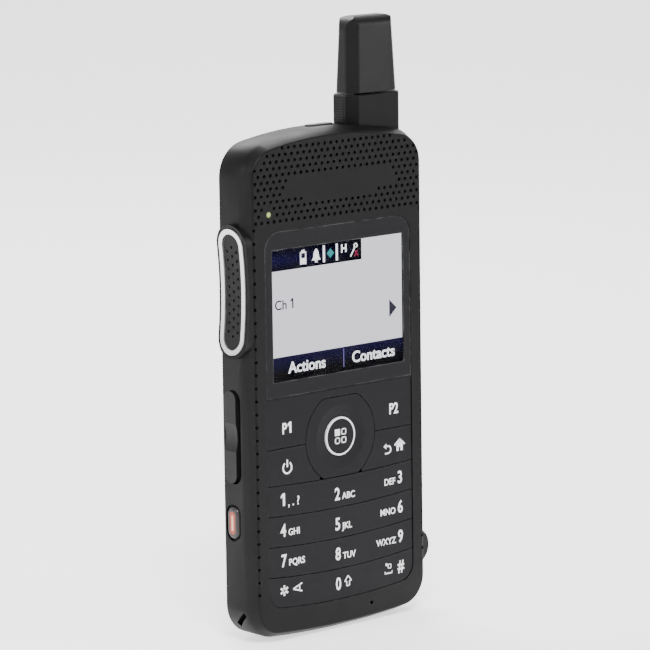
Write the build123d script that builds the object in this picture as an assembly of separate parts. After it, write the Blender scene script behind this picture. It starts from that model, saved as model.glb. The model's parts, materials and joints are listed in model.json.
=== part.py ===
"""Slim handheld two-way radio, built as separate pieces.

Millimetres.  X points to the right of a user who faces the keypad, +Y points into the
radio, and +Z points up to the antenna.  The origin is at the bottom, under the middle.
"Depth" (names that end in _D) is measured from the front face towards the back.
"""
import os

from build123d import *

# ---- overall sizes -------------------------------------------------------------------
BODY_WIDTH = 54.6
BODY_HEIGHT = 117.9
BODY_DEPTH = 21.6
SIDE_PROUD = 1.5            # how far the talk bar stands out
CORNER_RADIUS = 8.0
TOP_SAG = 3.5               # rise of the curved top edge over its ends
BOTTOM_SAG = 1.6
SIDE_FLAT_D = 10.0          # the side faces are flat to this depth, then the back tapers
PART_D = 11.0               # parting plane between the two housing shells
BACK_INSET_SIDE = 10.3      # back outline inside the front outline
BACK_INSET_END = 10.5
BACK_CORNER_RADIUS = 6.0
FRONT_BEVEL_IN = 1.4        # front edge bevel, measured on the front face
FRONT_BEVEL_DEEP = 3.0
FRONT_BEVEL_SOFTEN = 0.6
BACK_EDGE_ROUND = 2.5
WALL = 1.6
FRONT_WALL = 1.8

# ---- clearances ----------------------------------------------------------------------
FIT_GAP = 0.10              # between fixed pieces that drop into a pocket
KEY_GAP = 0.20              # around every moving key
SLIDE_GAP = 0.25            # around side controls, doors and latches
PIN_GAP = 0.05              # radial, pin in its hole

# ---- display -------------------------------------------------------------------------
SCREEN_BOTTOM_Z = 61.0
SCREEN_WIDTH = 40.64
SCREEN_HEIGHT = 30.48
DISPLAY_BORDER = 0.9
LENS_HALF = 22.58
LENS_BOTTOM_Z = 57.3
LENS_TOP_Z = 95.8
LENS_RADIUS = 4.5
LENS_RECESS = 0.15
LENS_THICK = 0.6
GASKET_WIDTH = 1.0

# ---- keypad --------------------------------------------------------------------------
FUNCTION_SPLIT_Z = 45.45
ROW_TOP_Z = 37.0
ROW_PITCH = 7.15
ROW_COUNT = 4
ROW_SAG = 0.7               # the key rows curve down towards the middle
ROW_SAG_STEP = 0.17
KEYPAD_CORNER = 4.0
KEY_FACE_D = 0.2
KEY_THICK = 1.4
KEY_POST_RADIUS = 1.2
KEY_TRAVEL = 0.35
KEY_SIDE_X = 16.0           # column pitch of the number keys
WEB_ROCK_GAP = 0.3
WEB_THICK = 0.5
POST_END_D = 3.0
NAV_Z = 45.8
NAV_RADIUS = 10.7
NAV_FLAT = 9.35
NAV_DISH_RADIUS = 60.0
SELECT_RADIUS = 4.55
SELECT_RING_WIDTH = 0.4
SELECT_RING_THICK = 0.5
NAV_BORE_GAP = 0.25
DOME_HEIGHT = 0.2
DOME_SHEET_THICK = 0.25
DOME_RADIUS = 2.2

# ---- boards, chassis and inner parts -------------------------------------------------
BOARD_FRONT_D = 3.9
BOARD_THICK = 1.0
BOARD_BOTTOM_Z = 8.5
BOARD_TOP_Z = 97.5
CHASSIS_D = 7.4
CHASSIS_THICK = 1.2
CHASSIS_BOTTOM_Z = 3.0
CHASSIS_TOP_DROP = 5.0
CHASSIS_GAP = 0.3
SHIELD_WALL = 0.3
SCREW_SHAFT_RADIUS = 1.0
SCREW_HEAD_RADIUS = 1.8
SCREW_HEAD_THICK = 1.4
SCREW_LENGTH = 7.0
SCREW_SEAT_D = 10.4
SCREW_DRIVE_RADIUS = 0.9
SCREW_DRIVE_DEEP = 0.8
THREAD_GAP = 0.03
BOARD_SCREW_HEAD_RADIUS = 1.5
BOARD_SCREW_HEAD_THICK = 0.7
BOARD_POST_RADIUS = 1.6
BOSS_RADIUS = 1.9
CORNER_SCREW_X = 18.0
CORNER_SCREW_RISE = 3.6     # lower pair, above the inside of the wall
CORNER_SCREW_DROP = 6.9     # upper pair, below the inside of the wall
BOARD_SCREW_X = 20.6
BOARD_SCREW_INSET = 2.4
SPEAKER_WIDTH = 26.0
SPEAKER_HEIGHT = 14.0
SPEAKER_RIM = 1.2
SPEAKER_POCKET = 1.8
SPEAKER_DROP = 12.2         # speaker centre, below the top of the body
SPEAKER_X = -2.0
CONE_THICK = 0.5
CONE_TRAVEL = 0.25
MESH_THICK = 0.2
LED_X = -21.2
LED_RISE = 4.1              # status light, above the lens
LED_RADIUS = 0.65
MIC_X = 9.0
MIC_RADIUS = 2.0
MIC_Z = 4.5
MIC_THICK = 1.6
MIC_HOLE_RADIUS = 0.5

# ---- side controls -------------------------------------------------------------------
PTT_Z = 82.4
PTT_HEIGHT = 29.0
PTT_D = 5.3
PTT_WIDTH = 8.2
PTT_SADDLE_RADIUS = 95.0
PTT_RING_WIDTH = 1.15
PTT_PAD_MARGIN = 1.0
PTT_TRAVEL = 0.45
ROCKER_Z = 48.5
ROCKER_HEIGHT = 21.5
ROCKER_D = 7.1
ROCKER_WIDTH = 4.0
ROCKER_PROUD = 0.5
ROCKER_ROOM_FRONT = 0.9     # wider gap along the rocker's front side
ROCKER_PIN_RADIUS = 0.5
SIDE_KEY_Z = 28.4
SIDE_KEY_HEIGHT = 7.6
SIDE_KEY_D = 7.0
SIDE_KEY_WIDTH = 3.8
SIDE_KEY_PROUD = 0.4
SWITCH_GAP = 0.55           # free travel in front of a side switch
SIDE_BOARD_THICK = 0.8
SWITCH_THICK = 1.0
TOP_KEY_X = 1.5
TOP_KEY_D = 8.0
TOP_KEY_LENGTH = 8.0
TOP_KEY_WIDTH = 2.6
TOP_KEY_PROUD = 0.3
FLANGE = 0.7                # hidden rim that holds a key in its opening
FLANGE_THICK = 0.6

# ---- accessory port on the right -----------------------------------------------------
COVER_LOW_Z = 10.0
COVER_HEIGHT = 16.0
COVER_D = 6.4
COVER_WIDTH = 6.0
COVER_THICK = 1.0
COVER_TAB_HEIGHT = 8.6
COVER_TAB_PROUD = 3.8       # finger tab, beyond the side of the body
COVER_BARREL_RADIUS = 0.8
COVER_PIN_RADIUS = 0.35
COVER_PIN_REACH = 0.8
PORT_HEIGHT = 8.0
PORT_WIDTH = 3.2
PORT_WALL = 0.4
PORT_RISE = 7.0             # port centre above the lower end of the cover

# ---- battery and its door ------------------------------------------------------------
BAY_FLOOR_D = 12.2
BAY_FLOOR_THICK = 1.2
BATTERY_WIDTH = 31.0
BATTERY_HEIGHT = 58.0
BATTERY_THICK = 6.2
BATTERY_BOTTOM_Z = 23.0
DOOR_HALF = 15.8
DOOR_BOTTOM_Z = 20.0
DOOR_HEIGHT = 72.0
DOOR_THICK = 1.6
DOOR_HINGE_RADIUS = 0.8
LATCH_WIDTH = 14.0
LATCH_HEIGHT = 6.0
LATCH_THICK = 1.4
LATCH_TRAVEL = 2.0
CONTACT_HEIGHT = 4.0
CONTACT_WIDTH = 14.0

# ---- antenna -------------------------------------------------------------------------
ANTENNA_X = 16.55
ANTENNA_D = 8.1
ANTENNA_WIDTH = 15.9
ANTENNA_DEEP = 7.6
ANTENNA_FACET = 2.2
ANTENNA_BASE_RISE = 6.4     # base above the top of the body
ANTENNA_SEAM = 0.4
ANTENNA_CAP_HEIGHT = 17.8
ANTENNA_BASE_EXTRA = 0.5
ANTENNA_TAPER = 0.65
ANTENNA_SOFTEN = 1.2        # rounding of every upright edge of the cap
ANTENNA_ROD_RADIUS = 1.5
ANTENNA_WALL = 1.3
ANTENNA_TOP_ROUND = 3.4

# ---- small internals -----------------------------------------------------------------
MOTOR_RADIUS = 2.0
MOTOR_LENGTH = 8.0
MOTOR_Z = 13.4
MOTOR_X = -12.0
WEIGHT_LENGTH = 3.0
WEIGHT_RADIUS = 1.8
MOTOR_SHAFT_RADIUS = 0.4
LANYARD_POST_RADIUS = 0.7

# ---- places worked out from the sizes ------------------------------------------------
FRONT_Y = -BODY_DEPTH / 2
HALF = BODY_WIDTH / 2
LEDGE_D = LENS_RECESS + LENS_THICK
KEY_BACK_D = KEY_FACE_D + KEY_THICK
WEB_FRONT_D = KEY_BACK_D + WEB_ROCK_GAP
WEB_BACK_D = WEB_FRONT_D + WEB_THICK
BOARD_BACK_D = BOARD_FRONT_D + BOARD_THICK
CHASSIS_BACK_D = CHASSIS_D + CHASSIS_THICK
DOME_SHEET_D = BOARD_FRONT_D - DOME_SHEET_THICK
BAY_BACK_D = BAY_FLOOR_D + BAY_FLOOR_THICK
DOOR_INNER_D = BODY_DEPTH - DOOR_THICK
DOOR_TOP_Z = DOOR_BOTTOM_Z + DOOR_HEIGHT
SCREEN_TOP_Z = SCREEN_BOTTOM_Z + SCREEN_HEIGHT
SPEAKER_Z = BODY_HEIGHT - SPEAKER_DROP
LED_Z = LENS_TOP_Z + LED_RISE
CORNER_SCREWS = [
    (side * CORNER_SCREW_X, z)
    for side in (-1, 1)
    for z in (WALL + CORNER_SCREW_RISE, BODY_HEIGHT - WALL - CORNER_SCREW_DROP)
]
BOARD_SCREWS = [
    (side * BOARD_SCREW_X, z)
    for side in (-1, 1)
    for z in (BOARD_BOTTOM_Z + BOARD_SCREW_INSET, BOARD_TOP_Z - BOARD_SCREW_INSET)
]


# ---- helpers -------------------------------------------------------------------------
def front_plane(depth):
    """Drawing plane parallel to the front face, with u = X and v = Z."""
    return Plane(origin=(0, FRONT_Y + depth, 0), x_dir=(1, 0, 0), z_dir=(0, -1, 0))


def prism(sketch, start_d, end_d):
    """Push a sketch drawn in X and Z from one depth to another."""
    return extrude(front_plane(start_d) * sketch, amount=-(end_d - start_d))


def block(x0, x1, d0, d1, z0, z1):
    centre = ((x0 + x1) / 2, FRONT_Y + (d0 + d1) / 2, (z0 + z1) / 2)
    return Pos(*centre) * Box(abs(x1 - x0), abs(d1 - d0), abs(z1 - z0))


def rod_y(x, z, radius, d0, d1):
    """Round rod that runs front to back."""
    return Pos(x, FRONT_Y + (d0 + d1) / 2, z) * Rot(X=90) * Cylinder(radius, d1 - d0)


def rod_x(x0, x1, d, z, radius):
    """Round rod that runs left to right."""
    return Pos((x0 + x1) / 2, FRONT_Y + d, z) * Rot(Y=90) * Cylinder(radius, x1 - x0)


def rod_z(x, d, z0, z1, radius):
    """Upright round rod."""
    return Pos(x, FRONT_Y + d, (z0 + z1) / 2) * Cylinder(radius, z1 - z0)


def side_pill(x0, x1, d, z, width, height):
    """Upright pill outline, centred at a depth and height, pushed along X."""
    plane = Plane(origin=(x0, FRONT_Y + d, z), x_dir=(0, 1, 0), z_dir=(1, 0, 0))
    outline = Rot(Z=90) * SlotOverall(height, width)
    return extrude(plane * outline, amount=x1 - x0)


def top_pill(x, d, z0, z1, length, width):
    """Pill outline that lies along X, pushed upwards."""
    outline = Pos(x, FRONT_Y + d, z0) * SlotOverall(length, width)
    return extrude(outline, amount=z1 - z0)


def rounded(x0, x1, z0, z1, radius):
    """Rounded rectangle in the front drawing plane."""
    return Pos((x0 + x1) / 2, (z0 + z1) / 2) * RectangleRounded(x1 - x0, z1 - z0, radius)


def outline(inset_side, inset_end, radius):
    """Front view of the body: straight sides and gently curved ends."""
    half = HALF - inset_side
    low = BOTTOM_SAG + inset_end
    high = BODY_HEIGHT - TOP_SAG - inset_end
    sides = [
        Line((-half, low), (-half, high)),
        ThreePointArc((-half, high), (0, BODY_HEIGHT - inset_end), (half, high)),
        Line((half, high), (half, low)),
        ThreePointArc((half, low), (0, inset_end), (-half, low)),
    ]
    face = make_face(sides)
    return fillet(face.vertices(), radius)


def envelope(inset=0.0, front_inset=0.0):
    """Solid outer form of both shells, or the hollow inside them."""
    full = outline(inset, inset, CORNER_RADIUS - inset)
    back = outline(
        BACK_INSET_SIDE + inset / 2, BACK_INSET_END + inset / 2, BACK_CORNER_RADIUS - inset / 2
    )
    front_part = prism(full, front_inset, SIDE_FLAT_D)
    start = front_plane(SIDE_FLAT_D) * full
    end = front_plane(BODY_DEPTH - inset) * back
    back_part = loft([start, end], ruled=True)
    return front_part + back_part


def outer_form():
    form = envelope()
    front = form.faces().sort_by(Axis.Y)[0]
    form = chamfer(front.edges(), FRONT_BEVEL_IN, FRONT_BEVEL_DEEP, reference=front)
    crisp = form.faces().sort_by(Axis.Y)[0].edges()
    form = fillet(crisp, FRONT_BEVEL_SOFTEN)
    rear_edges = form.faces().sort_by(Axis.Y)[-1].edges()
    return fillet(rear_edges, BACK_EDGE_ROUND)


# ---- more places worked out from the sizes --------------------------------------------
INNER_X = HALF - WALL
FLANGE_OUT_X = INNER_X - SLIDE_GAP
FLANGE_IN_X = FLANGE_OUT_X - FLANGE_THICK
SWITCH_FACE_X = FLANGE_IN_X - SWITCH_GAP
SIDE_BOARD_X = SWITCH_FACE_X - SWITCH_THICK
BOARD_HALF = SIDE_BOARD_X - SIDE_BOARD_THICK
CHASSIS_HALF = BOARD_HALF - FIT_GAP
FAR = 2 * BODY_DEPTH        # cutting tools run this far past the faces
OUTER = outer_form()
CAVITY = envelope(WALL, FRONT_WALL)


def slab(d0, d1):
    """Everything between two depths."""
    return block(-2 * HALF, 2 * HALF, d0, d1, -BODY_HEIGHT, 2 * BODY_HEIGHT)


# ---- display -------------------------------------------------------------------------
def display_rect(grow):
    half = SCREEN_WIDTH / 2 + DISPLAY_BORDER + grow
    low = SCREEN_BOTTOM_Z - DISPLAY_BORDER - grow
    high = SCREEN_TOP_Z + DISPLAY_BORDER + grow
    return Pos(0, (low + high) / 2) * Rectangle(2 * half, high - low)


def lens_outline(grow):
    """Square lower corners, rounded upper corners."""
    half = LENS_HALF + grow
    low = LENS_BOTTOM_Z - grow
    high = LENS_TOP_Z + grow
    face = Pos(0, (low + high) / 2) * Rectangle(2 * half, high - low)
    upper = face.vertices().group_by(Axis.Y)[-1]
    return fillet(upper, LENS_RADIUS)


def lens_window():
    return prism(lens_outline(-FIT_GAP), LENS_RECESS, LEDGE_D)


def display_module():
    return prism(display_rect(0), LEDGE_D, BOARD_FRONT_D)


def display_gasket():
    ring = display_rect(GASKET_WIDTH) - display_rect(0)
    return prism(ring, FRONT_WALL, BOARD_FRONT_D)


# ---- keypad --------------------------------------------------------------------------
def row_edge(index, shift):
    """End height and middle height of the line above key row number index."""
    end = ROW_TOP_Z - index * ROW_PITCH + shift
    return end, end - ROW_SAG - index * ROW_SAG_STEP


def level_line(half, end, middle):
    """Line across the keypad at one height, or an arc where the middle is lower."""
    if end == middle:
        return Line((-half, end), (half, end))
    return ThreePointArc((-half, end), (0, middle), (half, end))


def area_between(half, top, bottom):
    """Area between two lines given as (end height, middle height)."""
    edges = [
        level_line(half, *top),
        Line((half, top[0]), (half, bottom[0])),
        level_line(half, *bottom),
        Line((-half, bottom[0]), (-half, top[0])),
    ]
    return make_face(edges)


def round_bottom(face, radius):
    lower = face.vertices().group_by(Axis.Y)[0]
    return fillet(lower, radius)


def keypad_outline():
    half = LENS_HALF + FIT_GAP
    high = LENS_BOTTOM_Z - FIT_GAP
    top = Pos(0, (high + ROW_TOP_Z) / 2) * Rectangle(2 * half, high - ROW_TOP_Z)
    rows = area_between(half, (ROW_TOP_Z, ROW_TOP_Z + ROW_SAG), row_edge(ROW_COUNT, 0))
    return top + round_bottom(rows, KEYPAD_CORNER + FIT_GAP)


def nav_outline(grow):
    disc = Circle(NAV_RADIUS + grow) & Rectangle(3 * NAV_RADIUS, 2 * (NAV_FLAT + grow))
    return Pos(0, NAV_Z) * disc


def post(x, z, start_d=KEY_BACK_D):
    return rod_y(x, z, KEY_POST_RADIUS, start_d, POST_END_D)


def key_row(index):
    half = LENS_HALF - KEY_GAP + FIT_GAP
    face = area_between(half, row_edge(index, -KEY_GAP / 2), row_edge(index + 1, KEY_GAP / 2))
    if index == ROW_COUNT - 1:
        face = round_bottom(face, KEYPAD_CORNER)
    return prism(face, KEY_FACE_D, KEY_BACK_D)


def row_centre(index):
    return ROW_TOP_Z - (index + 0.5) * ROW_PITCH - ROW_SAG


def row_web(index):
    z = row_centre(index)
    half = LENS_HALF - KEYPAD_CORNER / 2
    web = block(-half, half, WEB_FRONT_D, WEB_BACK_D, z - ROW_PITCH / 4, z + ROW_PITCH / 4)
    for x in (-KEY_SIDE_X, 0, KEY_SIDE_X):
        web += post(x, z, WEB_FRONT_D)
    ridge_half = KEY_POST_RADIUS / 3
    ridge = block(
        -ridge_half, ridge_half, KEY_BACK_D + PIN_GAP, WEB_FRONT_D, z - ROW_PITCH / 4, z + ROW_PITCH / 4
    )
    return web + ridge


def function_area(top, bottom):
    half = LENS_HALF - KEY_GAP + FIT_GAP
    return area_between(half, top, bottom) - nav_outline(KEY_GAP)


def function_bar():
    high = LENS_BOTTOM_Z - KEY_GAP
    low = FUNCTION_SPLIT_Z + KEY_GAP / 2
    face = function_area((high, high), (low, low))
    bar = prism(face, KEY_FACE_D, KEY_BACK_D)
    z = (FUNCTION_SPLIT_Z + LENS_BOTTOM_Z) / 2
    for x in (-KEY_SIDE_X, KEY_SIDE_X):
        bar += post(x, z)
    return bar


def lower_function_key(side):
    high = FUNCTION_SPLIT_Z - KEY_GAP / 2
    face = function_area((high, high), row_edge(0, KEY_GAP / 2))
    inner = NAV_RADIUS * 0.62
    mask = Pos(side * (inner + LENS_HALF), high) * Rectangle(2 * LENS_HALF, 4 * ROW_PITCH)
    key = prism(face & mask, KEY_FACE_D, KEY_BACK_D)
    z = (ROW_TOP_Z + FUNCTION_SPLIT_Z) / 2
    return key + post(side * KEY_SIDE_X, z)


NAV_POST_X = NAV_RADIUS - 3.1
NAV_POST_RADIUS = 1.0
GIMBAL_OUT = NAV_RADIUS - 1.3
GIMBAL_IN = SELECT_RADIUS + 1.0


def nav_disc():
    disc = prism(nav_outline(0), KEY_FACE_D, KEY_BACK_D)
    dish = Pos(0, FRONT_Y + KEY_FACE_D - NAV_DISH_RADIUS + KEY_THICK / 3, NAV_Z)
    disc -= dish * Sphere(NAV_DISH_RADIUS)
    disc -= rod_y(0, NAV_Z, SELECT_RADIUS + NAV_BORE_GAP, 0, BOARD_FRONT_D)
    for side in (-1, 1):
        disc += rod_y(0, NAV_Z + side * NAV_POST_X, NAV_POST_RADIUS, KEY_BACK_D, POST_END_D)
    return disc


def nav_gimbal():
    ring = rod_y(0, NAV_Z, GIMBAL_OUT, WEB_FRONT_D, WEB_BACK_D)
    ring -= rod_y(0, NAV_Z, GIMBAL_IN, 0, BOARD_FRONT_D)
    for side in (-1, 1):
        ring -= rod_y(0, NAV_Z + side * NAV_POST_X, NAV_POST_RADIUS + SLIDE_GAP, 0, BOARD_FRONT_D)
        ring += rod_y(side * NAV_POST_X, NAV_Z, NAV_POST_RADIUS, WEB_FRONT_D, POST_END_D)
    return ring


def select_button():
    step_d = KEY_FACE_D + SELECT_RING_THICK
    button = rod_y(0, NAV_Z, SELECT_RADIUS, step_d, KEY_BACK_D)
    button += rod_y(0, NAV_Z, SELECT_RADIUS - SELECT_RING_WIDTH, KEY_FACE_D, step_d)
    return button + post(0, NAV_Z)


def select_ring():
    step_d = KEY_FACE_D + SELECT_RING_THICK
    ring = rod_y(0, NAV_Z, SELECT_RADIUS, KEY_FACE_D, step_d)
    return ring - rod_y(0, NAV_Z, SELECT_RADIUS - SELECT_RING_WIDTH, KEY_FACE_D, step_d)


def dome_places():
    rows = [(x, row_centre(row)) for row in range(ROW_COUNT) for x in (-KEY_SIDE_X, 0, KEY_SIDE_X)]
    upper = (FUNCTION_SPLIT_Z + LENS_BOTTOM_Z) / 2
    lower = (ROW_TOP_Z + FUNCTION_SPLIT_Z) / 2
    sides = [(side * KEY_SIDE_X, z) for side in (-1, 1) for z in (upper, lower)]
    arms = [(side * NAV_POST_X, NAV_Z) for side in (-1, 1)]
    arms += [(0, NAV_Z + side * NAV_POST_X) for side in (-1, 1)]
    return rows + sides + arms + [(0, NAV_Z)]


def dome_sheet():
    half = BOARD_SCREW_X - BOARD_SCREW_HEAD_RADIUS - KEY_GAP
    low = BOARD_BOTTOM_Z + FIT_GAP
    sheet = block(-half, half, DOME_SHEET_D, BOARD_FRONT_D, low, LENS_BOTTOM_Z)
    for x, z in dome_places():
        dome = Cone(DOME_RADIUS, DOME_RADIUS / 2, DOME_HEIGHT)
        sheet += Pos(x, FRONT_Y + DOME_SHEET_D - DOME_HEIGHT / 2, z) * Rot(X=90) * dome
    return sheet


# ---- boards and chassis --------------------------------------------------------------
def main_board():
    board = block(
        -BOARD_HALF, BOARD_HALF, BOARD_FRONT_D, BOARD_BACK_D, BOARD_BOTTOM_Z, BOARD_TOP_Z
    )
    for x, z in BOARD_SCREWS:
        board -= rod_y(x, z, SCREW_SHAFT_RADIUS + FIT_GAP, 0, CHASSIS_D)
    return board


def shield_can(low, high):
    half = BOARD_HALF * 0.8
    can = block(-half, half, BOARD_BACK_D, CHASSIS_D, low, high)
    inner = half - SHIELD_WALL
    return can - block(
        -inner, inner, BOARD_BACK_D, CHASSIS_D - SHIELD_WALL, low + SHIELD_WALL, high - SHIELD_WALL
    )


def board_screws():
    screws = []
    for x, z in BOARD_SCREWS:
        head_d = BOARD_FRONT_D - BOARD_SCREW_HEAD_THICK
        screw = rod_y(x, z, BOARD_SCREW_HEAD_RADIUS, head_d, BOARD_FRONT_D)
        screw += rod_y(x, z, SCREW_SHAFT_RADIUS, BOARD_FRONT_D, CHASSIS_BACK_D)
        screws.append(screw)
    return Compound(children=screws)


def mid_chassis():
    top = BODY_HEIGHT - CHASSIS_TOP_DROP
    plate = block(
        -CHASSIS_HALF, CHASSIS_HALF, CHASSIS_D, CHASSIS_BACK_D, CHASSIS_BOTTOM_Z, top
    )
    inset = WALL + CHASSIS_GAP
    plate &= prism(outline(inset, inset, CORNER_RADIUS - inset), 0, BODY_DEPTH)
    for x, z in BOARD_SCREWS:
        plate += rod_y(x, z, BOARD_POST_RADIUS, BOARD_BACK_D, CHASSIS_D + CHASSIS_THICK / 2)
        plate -= rod_y(x, z, SCREW_SHAFT_RADIUS + THREAD_GAP, 0, BODY_DEPTH)
    for x, z in CORNER_SCREWS:
        plate -= rod_y(x, z, SCREW_SHAFT_RADIUS + FIT_GAP, 0, BODY_DEPTH)
    room = MOTOR_RADIUS + 2 * SLIDE_GAP
    weight_end = MOTOR_X - WEIGHT_LENGTH - 4 * SLIDE_GAP
    motor_end = MOTOR_X + MOTOR_LENGTH + 2 * SLIDE_GAP
    return plate - block(weight_end, motor_end, 0, BODY_DEPTH, MOTOR_Z - room, MOTOR_Z + room)


def housing_screws():
    screws = []
    for x, z in CORNER_SCREWS:
        head_end = SCREW_SEAT_D + SCREW_HEAD_THICK
        screw = rod_y(x, z, SCREW_SHAFT_RADIUS, SCREW_SEAT_D - SCREW_LENGTH, SCREW_SEAT_D)
        screw += rod_y(x, z, SCREW_HEAD_RADIUS, SCREW_SEAT_D, head_end)
        drive = RegularPolygon(SCREW_DRIVE_RADIUS, 6)
        screw -= prism(Pos(x, z) * drive, head_end - SCREW_DRIVE_DEEP, head_end)
        screws.append(screw)
    return Compound(children=screws)


def vibration_motor():
    depth = BOARD_BACK_D + MOTOR_RADIUS
    motor = rod_x(MOTOR_X, MOTOR_X + MOTOR_LENGTH, depth, MOTOR_Z, MOTOR_RADIUS)
    bore = MOTOR_SHAFT_RADIUS + PIN_GAP
    return motor - rod_x(MOTOR_X, MOTOR_X + MOTOR_LENGTH / 2, depth, MOTOR_Z, bore)


def vibration_weight():
    depth = BOARD_BACK_D + MOTOR_RADIUS
    end = MOTOR_X - 2 * SLIDE_GAP
    weight = rod_x(end - WEIGHT_LENGTH, end, depth, MOTOR_Z, WEIGHT_RADIUS)
    low = MOTOR_Z - 2 * WEIGHT_RADIUS
    weight &= block(end - WEIGHT_LENGTH, end, 0, BODY_DEPTH, low, MOTOR_Z)
    shaft_end = MOTOR_X + MOTOR_LENGTH / 2 - SLIDE_GAP
    return weight + rod_x(end - WEIGHT_LENGTH, shaft_end, depth, MOTOR_Z, MOTOR_SHAFT_RADIUS)


# ---- sound and light -----------------------------------------------------------------
SPEAKER_D = FRONT_WALL + MESH_THICK


def speaker_outline(grow):
    return Pos(SPEAKER_X, SPEAKER_Z) * RectangleRounded(
        SPEAKER_WIDTH + 2 * grow, SPEAKER_HEIGHT + 2 * grow, SPEAKER_HEIGHT / 3 + grow
    )


def speaker():
    frame = prism(speaker_outline(0), SPEAKER_D, CHASSIS_D)
    return frame - prism(speaker_outline(-SPEAKER_RIM), SPEAKER_D, SPEAKER_D + SPEAKER_POCKET)


def speaker_cone():
    middle = SPEAKER_D + SPEAKER_POCKET / 2
    outline_in = speaker_outline(-SPEAKER_RIM - SLIDE_GAP)
    cone = prism(outline_in, middle - CONE_THICK / 2, middle + CONE_THICK / 2)
    dome = speaker_outline(-SPEAKER_HEIGHT / 3 + SLIDE_GAP)
    return cone + prism(dome, middle - CONE_THICK, middle)


def speaker_mesh():
    return prism(speaker_outline(0), FRONT_WALL, SPEAKER_D)


def microphone():
    capsule = rod_y(MIC_X, MIC_Z, MIC_RADIUS, FRONT_WALL, FRONT_WALL + MIC_THICK)
    return capsule - rod_y(MIC_X, MIC_Z, MIC_HOLE_RADIUS, FRONT_WALL, FRONT_WALL + MIC_THICK / 3)


def status_light():
    pipe = rod_y(LED_X, LED_Z, LED_RADIUS, 0, BOARD_FRONT_D)
    low = BOARD_TOP_Z - BOARD_SCREW_HEAD_THICK
    half = LED_RADIUS * 0.8
    return pipe + block(LED_X - half, LED_X + half, DOME_SHEET_D - half, BOARD_FRONT_D, low, LED_Z)


# ---- side controls -------------------------------------------------------------------
def saddle(proud):
    """Tool that hollows the talk bar's outside, proud of the side face at mid height."""
    x = -HALF - proud - PTT_SADDLE_RADIUS
    tool = Cylinder(PTT_SADDLE_RADIUS, FAR)
    return Pos(x, FRONT_Y + PTT_D, PTT_Z) * Rot(X=90) * tool


SADDLE_RISE = PTT_SADDLE_RADIUS - (PTT_SADDLE_RADIUS**2 - (PTT_HEIGHT / 2) ** 2) ** 0.5
RING_PROUD = SIDE_PROUD - SADDLE_RISE
BAR_DROP = 0.3


def ptt_pill(x0, x1, grow):
    return side_pill(x0, x1, PTT_D, PTT_Z, PTT_WIDTH + 2 * grow, PTT_HEIGHT + 2 * grow)


def ptt_ring():
    ring = ptt_pill(-HALF - SIDE_PROUD, -INNER_X, 0)
    ring -= ptt_pill(-HALF - FAR, FAR, -PTT_RING_WIDTH)
    return ring - saddle(RING_PROUD)


def ptt_bar():
    shrink = -PTT_RING_WIDTH - SLIDE_GAP
    bar = ptt_pill(-HALF - SIDE_PROUD, -FLANGE_IN_X, shrink)
    bar += ptt_pill(-FLANGE_OUT_X, -FLANGE_IN_X, shrink + FLANGE)
    return bar - saddle(RING_PROUD - BAR_DROP)


def side_board():
    low = SIDE_KEY_Z - SIDE_KEY_HEIGHT
    high = PTT_Z + PTT_HEIGHT / 4
    return block(
        -SIDE_BOARD_X, -BOARD_HALF, BOARD_FRONT_D, BAY_FLOOR_D - 3 * SIDE_BOARD_THICK, low, high
    )


def side_switch(z, d, size):
    half = size / 2
    return block(-SWITCH_FACE_X, -SIDE_BOARD_X, d - half, d + half, z - half, z + half)


SWITCH_SIZE = 3.0
ROCKER_NUB_Z = ROCKER_HEIGHT / 3
ROCKER_PIN_X = INNER_X - 2 * ROCKER_PIN_RADIUS
ROCKER_LUG_HALF = 1.1
ROCKER_LUG_WIDTH = 2.0
ROCKER_FRONT_D = ROCKER_D - ROCKER_WIDTH / 2 - SLIDE_GAP - ROCKER_ROOM_FRONT
ROCKER_BACK_D = ROCKER_D + ROCKER_WIDTH / 2 + SLIDE_GAP


def volume_rocker():
    inner = -INNER_X - SLIDE_GAP
    rocker = side_pill(
        -HALF - ROCKER_PROUD, inner, ROCKER_D, ROCKER_Z, ROCKER_WIDTH, ROCKER_HEIGHT
    )
    waist = Cylinder(ROCKER_HEIGHT / 2, FAR)
    waist_x = -HALF - ROCKER_HEIGHT / 2
    rocker -= Pos(waist_x, 0, ROCKER_Z) * Rot(X=90) * waist
    half = ROCKER_LUG_WIDTH / 2
    lug_in = ROCKER_PIN_X - 1.6 * ROCKER_PIN_RADIUS
    rocker += block(
        inner, -lug_in, ROCKER_D - half, ROCKER_D + half,
        ROCKER_Z - ROCKER_LUG_HALF, ROCKER_Z + ROCKER_LUG_HALF,
    )
    nub_x = SWITCH_FACE_X + SWITCH_GAP - SLIDE_GAP / 2
    for side in (-1, 1):
        z = ROCKER_Z + side * ROCKER_NUB_Z
        rocker += block(inner, -nub_x, ROCKER_D - half, ROCKER_D + half, z - half, z + half)
    pin_hole = ROCKER_PIN_RADIUS + PIN_GAP
    return rocker - rod_y(-ROCKER_PIN_X, ROCKER_Z, pin_hole, 0, BODY_DEPTH)


ROCKER_LUG_FRONT = (ROCKER_FRONT_D - 1.4, ROCKER_D - ROCKER_LUG_WIDTH / 2 - SLIDE_GAP)
ROCKER_LUG_REAR = (ROCKER_D + ROCKER_LUG_WIDTH / 2 + SLIDE_GAP, PART_D - 0.4)


def volume_rocker_pin():
    return rod_y(
        -ROCKER_PIN_X, ROCKER_Z, ROCKER_PIN_RADIUS, ROCKER_LUG_FRONT[0], ROCKER_LUG_REAR[1]
    )


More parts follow.
